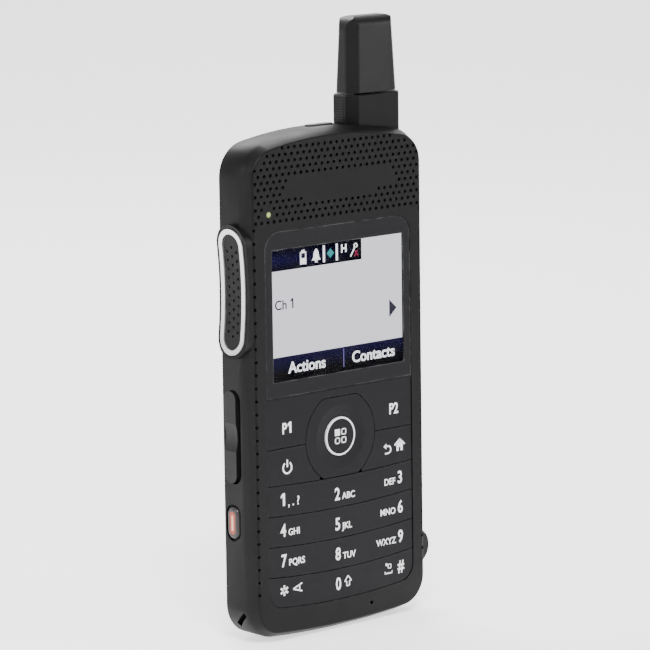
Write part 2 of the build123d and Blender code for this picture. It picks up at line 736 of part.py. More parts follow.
def rocker_lugs():
    lugs = []
    for d0, d1 in (ROCKER_LUG_FRONT, ROCKER_LUG_REAR):
        lug_in = ROCKER_PIN_X - 1.6 * ROCKER_PIN_RADIUS
        lugs.append(
            block(
                -INNER_X, -lug_in, d0, d1,
                ROCKER_Z - ROCKER_LUG_HALF, ROCKER_Z + ROCKER_LUG_HALF,
            )
        )
    return lugs


def volume_switches():
    pair = [side_switch(ROCKER_Z + side * ROCKER_NUB_Z, ROCKER_D, SWITCH_SIZE) for side in (-1, 1)]
    return Compound(children=pair)


def side_button():
    size = (SIDE_KEY_D, SIDE_KEY_Z, SIDE_KEY_WIDTH, SIDE_KEY_HEIGHT)
    key = side_pill(-HALF - SIDE_KEY_PROUD, -FLANGE_IN_X, *size)
    outer = key.faces().sort_by(Axis.X)[0]
    key = fillet(outer.edges(), 2 * SIDE_KEY_PROUD)
    flange_size = (
        SIDE_KEY_D, SIDE_KEY_Z, SIDE_KEY_WIDTH + 2 * FLANGE, SIDE_KEY_HEIGHT + 2 * FLANGE
    )
    return key + side_pill(-FLANGE_OUT_X, -FLANGE_IN_X, *flange_size)


TOP_ARC_DROP = TOP_SAG * ((abs(TOP_KEY_X) + TOP_KEY_LENGTH / 2 + FLANGE) / HALF) ** 2
TOP_FLANGE_Z = BODY_HEIGHT - WALL - TOP_ARC_DROP - SLIDE_GAP


def top_button():
    key = top_pill(
        TOP_KEY_X, TOP_KEY_D, TOP_FLANGE_Z - FLANGE_THICK, BODY_HEIGHT + TOP_KEY_PROUD,
        TOP_KEY_LENGTH, TOP_KEY_WIDTH,
    )
    upper = key.faces().sort_by(Axis.Z)[-1]
    key = fillet(upper.edges(), TOP_KEY_PROUD)
    return key + top_pill(
        TOP_KEY_X, TOP_KEY_D, TOP_FLANGE_Z - FLANGE_THICK, TOP_FLANGE_Z,
        TOP_KEY_LENGTH + 2 * FLANGE, TOP_KEY_WIDTH + 2 * FLANGE,
    )


def top_button_switch():
    half = SWITCH_SIZE / 2
    top = TOP_FLANGE_Z - FLANGE_THICK - SWITCH_GAP
    return block(
        TOP_KEY_X - half, TOP_KEY_X + half, CHASSIS_D, CHASSIS_D + SWITCH_SIZE,
        BODY_HEIGHT - CHASSIS_TOP_DROP, top,
    )


# ---- accessory port ------------------------------------------------------------------
COVER_TOP_Z = COVER_LOW_Z + COVER_HEIGHT
COVER_AXIS_X = HALF - COVER_BARREL_RADIUS
COVER_AXIS_Z = COVER_TOP_Z - COVER_BARREL_RADIUS
PORT_Z = COVER_LOW_Z + PORT_RISE


def cover_block(x0, x1, gap, z1=COVER_TOP_Z):
    half = COVER_WIDTH / 2 - gap
    return block(x0, x1, COVER_D - half, COVER_D + half, COVER_LOW_Z + gap, z1 - gap)


def accessory_cover():
    plate = cover_block(HALF - COVER_THICK, FAR, SLIDE_GAP, COVER_AXIS_Z) & OUTER
    half = COVER_WIDTH / 2 - SLIDE_GAP
    tab_plane = Plane(
        origin=(HALF - COVER_THICK, FRONT_Y + COVER_D - half, 0), x_dir=(1, 0, 0), z_dir=(0, -1, 0)
    )
    low = COVER_LOW_Z + SLIDE_GAP
    high = low + COVER_TAB_HEIGHT
    edges = [
        Line((0, low), (0, high)),
        Line((0, high), (COVER_THICK, high)),
        ThreePointArc(
            (COVER_THICK, high), (COVER_THICK + COVER_TAB_PROUD, (low + high) / 2), (COVER_THICK, low)
        ),
        Line((COVER_THICK, low), (0, low)),
    ]
    tab = extrude(tab_plane * make_face(edges), amount=-2 * half)
    barrel = rod_y(
        COVER_AXIS_X, COVER_AXIS_Z, COVER_BARREL_RADIUS, COVER_D - half, COVER_D + half
    )
    pin_hole = rod_y(COVER_AXIS_X, COVER_AXIS_Z, COVER_PIN_RADIUS + PIN_GAP, 0, BODY_DEPTH)
    return plate + tab + barrel - pin_hole


def accessory_cover_pin():
    reach = COVER_WIDTH / 2 + COVER_PIN_REACH
    return rod_y(
        COVER_AXIS_X, COVER_AXIS_Z, COVER_PIN_RADIUS, COVER_D - reach, COVER_D + reach
    )


def port_block(x0, x1, inset):
    half_d = PORT_WIDTH / 2 - inset
    half_z = PORT_HEIGHT / 2 - inset
    return block(x0, x1, COVER_D - half_d, COVER_D + half_d, PORT_Z - half_z, PORT_Z + half_z)


def accessory_port():
    outer = HALF - COVER_THICK - SLIDE_GAP
    return port_block(BOARD_HALF, outer, 0) - port_block(
        BOARD_HALF + 2 * PORT_WALL, outer + FAR, PORT_WALL
    )


# ---- housing shells ------------------------------------------------------------------
POST_X = -(HALF - 4.1)
POST_Z = BOTTOM_SAG + 4.0
SLIT_WIDTH = 1.2
SLIT_LENGTH = 5.0
SLIT_TILT = 50.0
SLIT_DEEP = 2.4
HOLE_PITCH_X = 1.85
HOLE_PITCH_Z = 1.51
HOLE_RADIUS = 0.42
HOLE_COLUMNS = 9
HOLE_ROWS = (-4, -3, 2, 3)   # rows counted from the speaker's centre
CHARGE_X = 4.5
CHARGE_RADIUS = 1.2
CHARGE_DEEP = 2.6
CHARGE_D = 6.0


def lanyard_post():
    return rod_y(POST_X, POST_Z, LANYARD_POST_RADIUS, FRONT_WALL, SIDE_FLAT_D)


def lanyard_slit():
    slit = Box(2 * SLIT_DEEP, SLIT_WIDTH, SLIT_LENGTH)
    return Pos(POST_X - SLIT_DEEP, FRONT_Y + SIDE_FLAT_D / 2 + SLIT_WIDTH / 2, POST_Z) * (
        Rot(X=SLIT_TILT) * slit
    )


def charging_contacts():
    pads = []
    for side in (-1, 1):
        pads.append(rod_z(side * CHARGE_X, CHARGE_D, -CHARGE_DEEP, CHARGE_DEEP, CHARGE_RADIUS) & OUTER)
    return Compound(children=pads)


def sound_holes():
    """Through holes in front of the speaker, on a staggered grid above and below a plain band."""
    holes = []
    for row in HOLE_ROWS:
        shift = HOLE_PITCH_X / 2 * (row % 2)
        for column in range(HOLE_COLUMNS):
            x = SPEAKER_X + (column - HOLE_COLUMNS // 2) * HOLE_PITCH_X + shift
            holes.append(rod_y(x, SPEAKER_Z + row * HOLE_PITCH_Z, HOLE_RADIUS, -1, 2 * FRONT_WALL))
    return holes


def side_openings():
    """Cuts for the talk bar ring, the volume rocker and the orange key."""
    cuts = [ptt_pill(-HALF - FAR, -INNER_X + SLIDE_GAP, 0)]
    rocker_d = (ROCKER_FRONT_D + ROCKER_BACK_D) / 2
    rocker_size = (ROCKER_BACK_D - ROCKER_FRONT_D, ROCKER_HEIGHT + 2 * SLIDE_GAP)
    cuts.append(side_pill(-HALF - FAR, -INNER_X, rocker_d, ROCKER_Z, *rocker_size))
    width = SIDE_KEY_WIDTH + 2 * SLIDE_GAP
    height = SIDE_KEY_HEIGHT + 2 * SLIDE_GAP
    cuts.append(side_pill(-HALF - FAR, -INNER_X, SIDE_KEY_D, SIDE_KEY_Z, width, height))
    recess = -HALF + SIDE_KEY_PROUD
    cuts.append(
        side_pill(-HALF - FAR, recess, SIDE_KEY_D, SIDE_KEY_Z, width + FLANGE, height + FLANGE)
    )
    return cuts


def right_openings():
    """Cuts for the accessory cover, its barrel and pin, and the port."""
    pin_half = COVER_WIDTH / 2
    barrel_low = COVER_AXIS_Z - COVER_BARREL_RADIUS - SLIDE_GAP
    return [
        cover_block(HALF - COVER_THICK - SLIDE_GAP, HALF + FAR, 0),
        block(INNER_X - SLIDE_GAP, HALF + FAR, COVER_D - pin_half, COVER_D + pin_half,
              barrel_low, COVER_TOP_Z),
        accessory_cover_pin(),
        port_block(BOARD_HALF, HALF + FAR, 0),
    ]


def front_housing():
    pad = ptt_pill(-HALF - SIDE_PROUD, -INNER_X, PTT_PAD_MARGIN) - saddle(RING_PROUD - BAR_DROP)
    shell = OUTER + pad
    shell &= slab(0, PART_D)
    shell -= CAVITY
    for x, z in CORNER_SCREWS:
        shell += rod_y(x, z, BOSS_RADIUS, FRONT_WALL, CHASSIS_D)
        shell -= rod_y(x, z, rear_boss_radius(), CHASSIS_BACK_D, FAR)
        shell -= rod_y(x, z, SCREW_SHAFT_RADIUS + THREAD_GAP, FRONT_WALL, BODY_DEPTH)
    shell += rocker_lugs()
    cuts = [
        prism(lens_outline(0), -1, LEDGE_D),
        prism(display_rect(FIT_GAP), 0, 2 * FRONT_WALL),
        prism(keypad_outline(), -1, FRONT_WALL),
        rod_y(LED_X, LED_Z, LED_RADIUS, -1, FRONT_WALL),
        rod_y(MIC_X, MIC_Z, MIC_HOLE_RADIUS, -1, FRONT_WALL),
        volume_rocker_pin(),
        top_pill(TOP_KEY_X, TOP_KEY_D, TOP_FLANGE_Z, BODY_HEIGHT + FAR,
                 TOP_KEY_LENGTH + 2 * SLIDE_GAP, TOP_KEY_WIDTH + 2 * SLIDE_GAP),
        lanyard_slit(),
        rod_z(ANTENNA_X, ANTENNA_D, SPEAKER_Z, BODY_HEIGHT + FAR, ANTENNA_ROD_RADIUS),
    ]
    cuts += [
        rod_z(side * CHARGE_X, CHARGE_D, -FAR, CHARGE_DEEP, CHARGE_RADIUS) for side in (-1, 1)
    ]
    cuts += side_openings() + right_openings() + sound_holes()
    return shell - cuts


BAY_HALF = DOOR_HALF + SLIDE_GAP
BAY_WALL = 1.2
LATCH_BOTTOM_Z = DOOR_TOP_Z + SLIDE_GAP
LATCH_TOP_Z = LATCH_BOTTOM_Z + LATCH_HEIGHT
LATCH_POCKET_TOP_Z = LATCH_TOP_Z + LATCH_TRAVEL + SLIDE_GAP
LATCH_WING = 0.8
LATCH_WING_THICK = 0.6
LATCH_FLOOR_D = BODY_DEPTH - LATCH_THICK - FIT_GAP
DOOR_AXIS_D = BODY_DEPTH - DOOR_HINGE_RADIUS
DOOR_AXIS_Z = DOOR_BOTTOM_Z + DOOR_HINGE_RADIUS
DOOR_PIN_RADIUS = 0.35
DOOR_PIN_REACH = 1.0


def rear_boss_radius():
    return SCREW_HEAD_RADIUS + FIT_GAP + BAY_WALL / 2


def rear_housing():
    shell = (OUTER - CAVITY) & slab(PART_D, FAR)
    bay = block(
        -BAY_HALF - BAY_WALL, BAY_HALF + BAY_WALL, BAY_FLOOR_D, FAR,
        DOOR_BOTTOM_Z - SLIDE_GAP - BAY_WALL, LATCH_POCKET_TOP_Z + BAY_WALL,
    )
    shell += bay & OUTER
    shell -= block(
        -BAY_HALF, BAY_HALF, BAY_BACK_D, FAR, DOOR_BOTTOM_Z - SLIDE_GAP, DOOR_TOP_Z + SLIDE_GAP
    )
    latch_half = LATCH_WIDTH / 2 + SLIDE_GAP
    shell -= block(
        -latch_half, latch_half, LATCH_FLOOR_D, FAR, DOOR_TOP_Z, LATCH_POCKET_TOP_Z
    )
    wing_half = latch_half + LATCH_WING
    wing_end = LATCH_FLOOR_D + LATCH_WING_THICK + 2 * FIT_GAP
    shell -= block(
        -wing_half, wing_half, LATCH_FLOOR_D, wing_end, DOOR_TOP_Z, LATCH_POCKET_TOP_Z
    )
    for x, z in CORNER_SCREWS:
        shell += rod_y(x, z, rear_boss_radius(), CHASSIS_BACK_D, FAR) & OUTER
        shell -= rod_y(x, z, SCREW_HEAD_RADIUS + FIT_GAP, SCREW_SEAT_D, FAR)
        shell -= rod_y(x, z, SCREW_SHAFT_RADIUS + FIT_GAP, 0, FAR)
    return shell - battery_door_pin()


def housing_seal():
    half = SLIDE_GAP * 3
    ring = CAVITY & slab(PART_D - half, PART_D + half)
    inner = envelope(WALL + half, FRONT_WALL) & slab(PART_D - 2 * half, PART_D + 2 * half)
    ring -= inner
    for x, z in CORNER_SCREWS:
        ring -= rod_y(x, z, rear_boss_radius(), 0, FAR)
    ring -= rocker_lugs()
    return ring


# ---- battery -------------------------------------------------------------------------
def battery_pack():
    half = BATTERY_WIDTH / 2
    pack = block(
        -half, half, BAY_BACK_D, BAY_BACK_D + BATTERY_THICK,
        BATTERY_BOTTOM_Z, BATTERY_BOTTOM_Z + BATTERY_HEIGHT,
    )
    return fillet(pack.edges().filter_by(Axis.Z), DOOR_HINGE_RADIUS)


def battery_contacts():
    half = CONTACT_WIDTH / 2
    low = BATTERY_BOTTOM_Z + BATTERY_HEIGHT
    base = block(-half, half, BAY_BACK_D, BAY_BACK_D + CONTACT_HEIGHT, low, low + CONTACT_HEIGHT)
    for index in (-1, 0, 1):
        x = index * CONTACT_WIDTH / 3
        slot = CONTACT_WIDTH / 10
        base -= block(x - slot, x + slot, BAY_BACK_D + slot, FAR, low, low + slot)
    return base


def battery_door():
    door = OUTER & block(
        -DOOR_HALF, DOOR_HALF, DOOR_INNER_D, FAR, DOOR_AXIS_Z, DOOR_TOP_Z
    )
    reach = DOOR_HALF - BACK_EDGE_ROUND
    door += rod_x(-reach, reach, DOOR_AXIS_D, DOOR_AXIS_Z, DOOR_HINGE_RADIUS)
    pin_hole = DOOR_PIN_RADIUS + PIN_GAP
    return door - rod_x(-FAR, FAR, DOOR_AXIS_D, DOOR_AXIS_Z, pin_hole)


def battery_door_pin():
    reach = BAY_HALF + DOOR_PIN_REACH / 2
    return rod_x(-reach, reach, DOOR_AXIS_D, DOOR_AXIS_Z, DOOR_PIN_RADIUS)


def battery_latch():
    half = LATCH_WIDTH / 2
    start = LATCH_FLOOR_D + FIT_GAP
    latch = block(-half, half, start, BODY_DEPTH, LATCH_BOTTOM_Z, LATCH_TOP_Z)
    wing = half + LATCH_WING
    latch += block(-wing, wing, start, start + LATCH_WING_THICK, LATCH_BOTTOM_Z, LATCH_TOP_Z)
    for index in range(4):
        z = LATCH_BOTTOM_Z + (index + 1) * LATCH_HEIGHT / 5
        latch -= rod_x(-half + 1, half - 1, BODY_DEPTH, z, LATCH_WING_THICK / 2)
    return latch


# ---- antenna -------------------------------------------------------------------------
ANTENNA_BASE_TOP_Z = BODY_HEIGHT + ANTENNA_BASE_RISE
ANTENNA_CAP_Z = ANTENNA_BASE_TOP_Z + ANTENNA_SEAM
ANTENNA_TOP_Z = ANTENNA_CAP_Z + ANTENNA_CAP_HEIGHT
ANTENNA_ROOT_Z = BODY_HEIGHT - CORNER_RADIUS


def antenna_section(grow, z, soften=ANTENNA_SOFTEN):
    """Rectangle with a facet on each corner, the edges between them softened."""
    half_x = ANTENNA_WIDTH / 2 + grow
    half_y = ANTENNA_DEEP / 2 + grow
    face = chamfer(Rectangle(2 * half_x, 2 * half_y).vertices(), ANTENNA_FACET)
    face = fillet(face.vertices(), soften)
    return Pos(ANTENNA_X, FRONT_Y + ANTENNA_D, z) * face


def antenna_base():
    section = antenna_section(ANTENNA_BASE_EXTRA, ANTENNA_ROOT_Z, ANTENNA_BASE_EXTRA)
    base = extrude(section, amount=ANTENNA_BASE_TOP_Z - ANTENNA_ROOT_Z)
    top = base.faces().sort_by(Axis.Z)[-1]
    base = chamfer(top.edges(), ANTENNA_BASE_EXTRA / 2) - OUTER
    return base - rod_z(ANTENNA_X, ANTENNA_D, 0, ANTENNA_TOP_Z, ANTENNA_ROD_RADIUS)


def cap_profile(width, top_round):
    """One view of the cap: tapered sides and rounded upper corners."""
    low = width / 2
    high = low - ANTENNA_TAPER
    face = make_face(
        Polyline(
            (-low, ANTENNA_CAP_Z), (low, ANTENNA_CAP_Z), (high, ANTENNA_TOP_Z),
            (-high, ANTENNA_TOP_Z), close=True,
        )
    )
    return fillet(face.vertices().group_by(Axis.Y)[-1], top_round)


def antenna_cap():
    low = antenna_section(0, ANTENNA_CAP_Z)
    high = antenna_section(-ANTENNA_TAPER, ANTENNA_TOP_Z)
    cap = loft([low, high], ruled=True)
    front_view = front_plane(0) * (Pos(ANTENNA_X, 0) * cap_profile(ANTENNA_WIDTH, ANTENNA_TOP_ROUND))
    side_plane = Plane(origin=(0, FRONT_Y + ANTENNA_D, 0), x_dir=(0, 1, 0), z_dir=(1, 0, 0))
    side_view = side_plane * cap_profile(ANTENNA_DEEP, ANTENNA_DEEP / 2 - ANTENNA_WALL)
    cap &= extrude(front_view, amount=-BODY_DEPTH)
    cap &= extrude(side_view, amount=HALF)
    bore = ANTENNA_ROD_RADIUS + ANTENNA_WALL
    top_z = ANTENNA_TOP_Z - 2 * ANTENNA_WALL
    return cap - rod_z(ANTENNA_X, ANTENNA_D, ANTENNA_CAP_Z, top_z, bore)


COIL_TURNS = 7
COIL_GROOVE = 0.35


def antenna_coil():
    """Rod that carries the antenna winding, from inside the body up into the cap."""
    top_z = ANTENNA_TOP_Z - 2 * ANTENNA_WALL
    low = TOP_FLANGE_Z - FLANGE_THICK - SWITCH_GAP
    rod = rod_z(ANTENNA_X, ANTENNA_D, low, top_z, ANTENNA_ROD_RADIUS)
    rod += rod_z(ANTENNA_X, ANTENNA_D, ANTENNA_BASE_TOP_Z, top_z, ANTENNA_ROD_RADIUS + ANTENNA_WALL)
    pitch = (top_z - ANTENNA_CAP_Z) / COIL_TURNS
    for turn in range(1, COIL_TURNS):
        z = ANTENNA_CAP_Z + turn * pitch
        groove = Torus(ANTENNA_ROD_RADIUS + ANTENNA_WALL, COIL_GROOVE)
        rod -= Pos(ANTENNA_X, FRONT_Y + ANTENNA_D, z) * groove
    return rod


FEED_WIDTH = 2.0
FEED_THICK = 0.4


def antenna_feed():
    x1 = ANTENNA_X - FEED_THICK
    x0 = x1 - FEED_WIDTH
    back = CHASSIS_D - FEED_THICK
    rod_end = TOP_FLANGE_Z - FLANGE_THICK - SWITCH_GAP
    low = BOARD_TOP_Z - FEED_WIDTH
    strip = block(x0, x1, back - FEED_THICK, back, low, rod_end)
    strip += block(x0, x1, BOARD_BACK_D, back, low, low + FEED_THICK)
    return strip + block(
        x0, ANTENNA_X, back - FEED_THICK, ANTENNA_D, rod_end - FEED_THICK, rod_end
    )


# ---- write every piece ---------------------------------------------------------------
SHIELD_SPLIT = 50.0


def pieces():
    half_split = SLIDE_GAP * 2
    made = {
        "front_housing": front_housing(),
        "rear_housing": rear_housing(),
        "housing_seal": housing_seal(),
        "mid_chassis": mid_chassis(),
        "housing_screws": housing_screws(),
        "lens_window": lens_window(),
        "display_module": display_module(),
        "display_gasket": display_gasket(),
        "status_light": status_light(),
        "speaker": speaker(),
        "speaker_cone": speaker_cone(),
        "speaker_mesh": speaker_mesh(),
        "microphone": microphone(),
        "main_board": main_board(),
        "shield_can_upper": shield_can(SHIELD_SPLIT + half_split, LENS_TOP_Z - 2 * SCREW_HEAD_RADIUS),
        "shield_can_lower": shield_can(MOTOR_Z + 2 * MOTOR_RADIUS, SHIELD_SPLIT - half_split),
        "board_screws": board_screws(),
        "dome_sheet": dome_sheet(),
        "function_bar": function_bar(),
        "power_key": lower_function_key(-1),
        "home_key": lower_function_key(1),
        "nav_disc": nav_disc(),
        "nav_gimbal": nav_gimbal(),
        "select_button": select_button(),
        "select_ring": select_ring(),
        "side_board": side_board(),
        "ptt_bar": ptt_bar(),
        "ptt_ring": ptt_ring(),
        "ptt_switch": side_switch(PTT_Z, PTT_D, SWITCH_SIZE),
        "volume_rocker": volume_rocker(),
        "volume_rocker_pin": volume_rocker_pin(),
        "volume_switches": volume_switches(),
        "side_button": side_button(),
        "side_button_switch": side_switch(SIDE_KEY_Z, SIDE_KEY_D, SWITCH_SIZE),
        "top_button": top_button(),
        "top_button_switch": top_button_switch(),
        "accessory_cover": accessory_cover(),
        "accessory_cover_pin": accessory_cover_pin(),
        "accessory_port": accessory_port(),
        "lanyard_post": lanyard_post(),
        "charging_contacts": charging_contacts(),
        "battery_pack": battery_pack(),
        "battery_contacts": battery_contacts(),
        "battery_door": battery_door(),
        "battery_door_pin": battery_door_pin(),
        "battery_latch": battery_latch(),
        "antenna_base": antenna_base(),
        "antenna_cap": antenna_cap(),
        "antenna_coil": antenna_coil(),
        "antenna_feed": antenna_feed(),
        "vibration_motor": vibration_motor(),
        "vibration_weight": vibration_weight(),
    }
    for index in range(ROW_COUNT):
        made[f"key_row_{index + 1}"] = key_row(index)
        made[f"row_web_{index + 1}"] = row_web(index)
    return made


# The finger tab stands out further than the talk bar, so the middle of the overall box is not the
# middle of the body. Every piece moves by this much, which puts the origin under the box's middle.
BOX_SHIFT_X = (SIDE_PROUD - COVER_TAB_PROUD) / 2


def shifted(piece):
    solids = [Pos(BOX_SHIFT_X, 0, 0) * solid for solid in piece.solids()]
    return solids[0] if len(solids) == 1 else Compound(children=solids)


os.makedirs("parts", exist_ok=True)
for name, piece in pieces().items():
    export_step(shifted(piece), f"parts/{name}.step")
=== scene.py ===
import json
import math

import bmesh
import bpy
from mathutils import Matrix, Vector


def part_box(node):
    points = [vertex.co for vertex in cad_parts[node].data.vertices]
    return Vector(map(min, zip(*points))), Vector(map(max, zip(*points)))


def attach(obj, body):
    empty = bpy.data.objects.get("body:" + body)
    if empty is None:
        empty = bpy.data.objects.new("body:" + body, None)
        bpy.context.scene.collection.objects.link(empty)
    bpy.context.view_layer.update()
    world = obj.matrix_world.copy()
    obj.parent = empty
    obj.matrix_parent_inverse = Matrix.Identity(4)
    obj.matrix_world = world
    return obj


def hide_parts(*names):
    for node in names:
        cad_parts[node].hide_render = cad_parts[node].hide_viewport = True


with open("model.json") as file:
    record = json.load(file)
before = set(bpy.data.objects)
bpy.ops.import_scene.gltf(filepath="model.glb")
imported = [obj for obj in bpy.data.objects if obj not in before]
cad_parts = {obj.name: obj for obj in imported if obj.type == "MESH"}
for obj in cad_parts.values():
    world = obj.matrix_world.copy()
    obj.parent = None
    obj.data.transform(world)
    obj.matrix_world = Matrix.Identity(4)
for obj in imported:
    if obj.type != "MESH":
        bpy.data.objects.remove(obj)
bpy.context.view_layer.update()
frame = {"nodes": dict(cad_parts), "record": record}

MM = 0.001
HIDE_UNDER = 0.02           # how far printed marks sink into the face under them, mm


def box_mm(node):
    """Lowest and highest corner of a CAD node, in millimetres."""
    low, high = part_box(node)
    return low / MM, high / MM


SHELL_LOW, SHELL_HIGH = box_mm("front_housing")
LENS_LOW, LENS_HIGH = box_mm("lens_window")
PANEL_LOW, PANEL_HIGH = box_mm("display_module")
FRONT_Y = SHELL_LOW.y
HALF_WIDTH = SHELL_HIGH.x - (LENS_LOW.x + LENS_HIGH.x) / 2
BODY_TOP = SHELL_HIGH.z
MIDDLE_X = (LENS_LOW.x + LENS_HIGH.x) / 2


# ---- mesh helpers --------------------------------------------------------------------
def object_from(name, mesh):
    piece = bpy.data.objects.new(name, mesh)
    bpy.context.scene.collection.objects.link(piece)
    return piece


def mesh_piece(name, points, faces):
    """A mesh object from points in millimetres."""
    mesh = bpy.data.meshes.new(name)
    mesh.from_pydata([Vector(point) * MM for point in points], [], faces)
    mesh.validate()
    return object_from(name, mesh)


def face_outwards(piece):
    work = bmesh.new()
    work.from_mesh(piece.data)
    bmesh.ops.remove_doubles(work, verts=work.verts, dist=0.002 * MM)
    bmesh.ops.recalc_face_normals(work, faces=work.faces)
    work.to_mesh(piece.data)
    work.free()


def soften(piece, degrees=32):
    """Smooth shading with creases kept where faces meet more sharply than this."""
    mesh = piece.data
    mesh.polygons.foreach_set("use_smooth", [True] * len(mesh.polygons))
    mesh.set_sharp_from_angle(angle=math.radians(degrees))


def outline_plate(name, outline, front_d, back_d):
    """A flat plate with this outline, facing the user, between two depths behind the front."""
    count = len(outline)
    points = [(x, FRONT_Y + front_d, z) for x, z in outline]
    points += [(x, FRONT_Y + back_d, z) for x, z in outline]
    faces = [tuple(range(count)), tuple(range(2 * count - 1, count - 1, -1))]
    for index in range(count):
        after = (index + 1) % count
        faces.append((index, index + count, after + count, after))
    piece = mesh_piece(name, points, faces)
    face_outwards(piece)
    return piece


def rectangle(x0, x1, z0, z1):
    return [(x0, z0), (x1, z0), (x1, z1), (x0, z1)]


def join_pieces(name, pieces):
    """One mesh object from several that lie at the origin."""
    work = bmesh.new()
    for piece in pieces:
        work.from_mesh(piece.data)
        bpy.data.objects.remove(piece)
    mesh = bpy.data.meshes.new(name)
    work.to_mesh(mesh)
    work.free()
    return object_from(name, mesh)


def copy_of(node, name):
    """A closed copy of a CAD node's mesh, to carve or split."""
    mesh = frame["nodes"][node].data.copy()
    mesh.materials.clear()
    if mesh.has_custom_normals:
        mesh.attributes.remove(mesh.attributes["custom_normal"])
    work = bmesh.new()
    work.from_mesh(mesh)
    bmesh.ops.remove_doubles(work, verts=work.verts, dist=0.001 * MM)
    bmesh.ops.dissolve_degenerate(work, edges=work.edges, dist=0.0005 * MM)
    work.to_mesh(mesh)
    work.free()
    return object_from(name, mesh)


def finished_mesh(piece):
    """The piece with its modifiers applied."""
    bpy.context.view_layer.update()
    seen = piece.evaluated_get(bpy.context.evaluated_depsgraph_get())
    mesh = bpy.data.meshes.new_from_object(seen)
    piece.modifiers.clear()
    piece.data = mesh
    return piece


def combine(piece, other, operation):
    """Cuts, joins or keeps the overlap of two closed pieces; the other one is used up."""
    cut = piece.modifiers.new(operation.lower(), "BOOLEAN")
    cut.operation = operation
    cut.solver = "EXACT"
    cut.object = other
    finished_mesh(piece)
    bpy.data.objects.remove(other)
    return piece


# ---- geometry node helpers -----------------------------------------------------------
class NodeMaker:
    """Adds nodes to a tree and joins them in one call."""

    def __init__(self, tree):
        self.tree = tree

    def add(self, kind, inputs=None, **settings):
        node = self.tree.nodes.new(kind)
        for setting, value in settings.items():
            setattr(node, setting, value)
        for socket, value in (inputs or {}).items():
            self.feed(node.inputs[socket], value)
        return node

    def feed(self, socket, value):
        if isinstance(value, bpy.types.NodeSocket):
            self.tree.links.new(value, socket)
        else:
            socket.default_value = value

    def place(self):
        return self.add("ShaderNodeTexCoord").outputs["Object"]

    def place_xyz(self):
        return self.add("ShaderNodeSeparateXYZ", {"Vector": self.place()}).outputs

    def math(self, operation, first, second=None, clamp=False):
        node = self.add("ShaderNodeMath", operation=operation, use_clamp=clamp)
        self.feed(node.inputs[0], first)
        if second is not None:
            self.feed(node.inputs[1], second)
        return node.outputs[0]

    def mix(self, amount, first, second):
        """Colour between the first and the second."""
        node = self.add("ShaderNodeMix", data_type="RGBA")
        self.feed(node.inputs["Factor"], amount)
        self.feed(node.inputs["A"], first)
        self.feed(node.inputs["B"], second)
        return node.outputs["Result"]

    def ramp(self, value, low, high, to_low=0.0, to_high=1.0, **settings):
        """Maps low to to_low and high to to_high, and holds the ends."""
        ends = {"From Min": low, "From Max": high, "To Min": to_low, "To Max": to_high}
        return self.add("ShaderNodeMapRange", {"Value": value, **ends}, **settings).outputs["Result"]

    def noise(self, vector, scale, detail, **more):
        inputs = {"Vector": vector, "Scale": scale, "Detail": detail, **more}
        return self.add("ShaderNodeTexNoise", inputs).outputs["Fac"]


def repeat_tree(name, sizes, make_shape):
    """A tree that sets one small shape on every point of the mesh that it is given."""
    tree = bpy.data.node_groups.new(name, "GeometryNodeTree")
    tree.interface.new_socket("Places", in_out="INPUT", socket_type="NodeSocketGeometry")
    tree.interface.new_socket("Finish", in_out="INPUT", socket_type="NodeSocketMaterial")
    for size in sizes:
        tree.interface.new_socket(size, in_out="INPUT", socket_type="NodeSocketFloat")
    tree.interface.new_socket("Shapes", in_out="OUTPUT", socket_type="NodeSocketGeometry")
    make = NodeMaker(tree)
    entry = make.add("NodeGroupInput")
    shape = make_shape(make, entry)
    placed = make.add(
        "GeometryNodeInstanceOnPoints", {"Points": entry.outputs["Places"], "Instance": shape}
    )
    real = make.add("GeometryNodeRealizeInstances", {"Geometry": placed.outputs["Instances"]})
    painted = make.add(
        "GeometryNodeSetMaterial",
        {"Geometry": real.outputs["Geometry"], "Material": entry.outputs["Finish"]},
    )
    leave = make.add("NodeGroupOutput")
    tree.links.new(painted.outputs["Geometry"], leave.inputs["Shapes"])
    return tree


def cone_shape(make, entry):
    """A blunt cone lying along Y, its wide mouth towards the user."""
    cone = make.add(
        "GeometryNodeMeshCone",
        {"Vertices": 12, "Radius Top": entry.outputs["Floor radius"],
         "Radius Bottom": entry.outputs["Mouth radius"], "Depth": entry.outputs["Depth"]},
    )
    turned = make.add(
        "GeometryNodeTransform",
        {"Geometry": cone.outputs["Mesh"], "Rotation": (-math.pi / 2, 0.0, 0.0)},
    )
    return turned.outputs["Geometry"]


def ball_shape(make, entry):
    """A ball flattened along X."""
    ball = make.add(
        "GeometryNodeMeshUVSphere", {"Segments": 12, "Rings": 8, "Radius": entry.outputs["Radius"]}
    )
    squeeze = make.add("ShaderNodeCombineXYZ", {"X": entry.outputs["Flatness"], "Y": 1.0, "Z": 1.0})
    flat = make.add(
        "GeometryNodeTransform",
        {"Geometry": ball.outputs["Mesh"], "Scale": squeeze.outputs["Vector"]},
    )
    return flat.outputs["Geometry"]


def bar_shape(make, entry):
    """A small block, for ribs."""
    size = make.add(
        "ShaderNodeCombineXYZ",
        {"X": entry.outputs["Proud"], "Y": entry.outputs["Length"], "Z": entry.outputs["Rib width"]},
    )
    return make.add("GeometryNodeMeshCube", {"Size": size.outputs["Vector"]}).outputs["Mesh"]


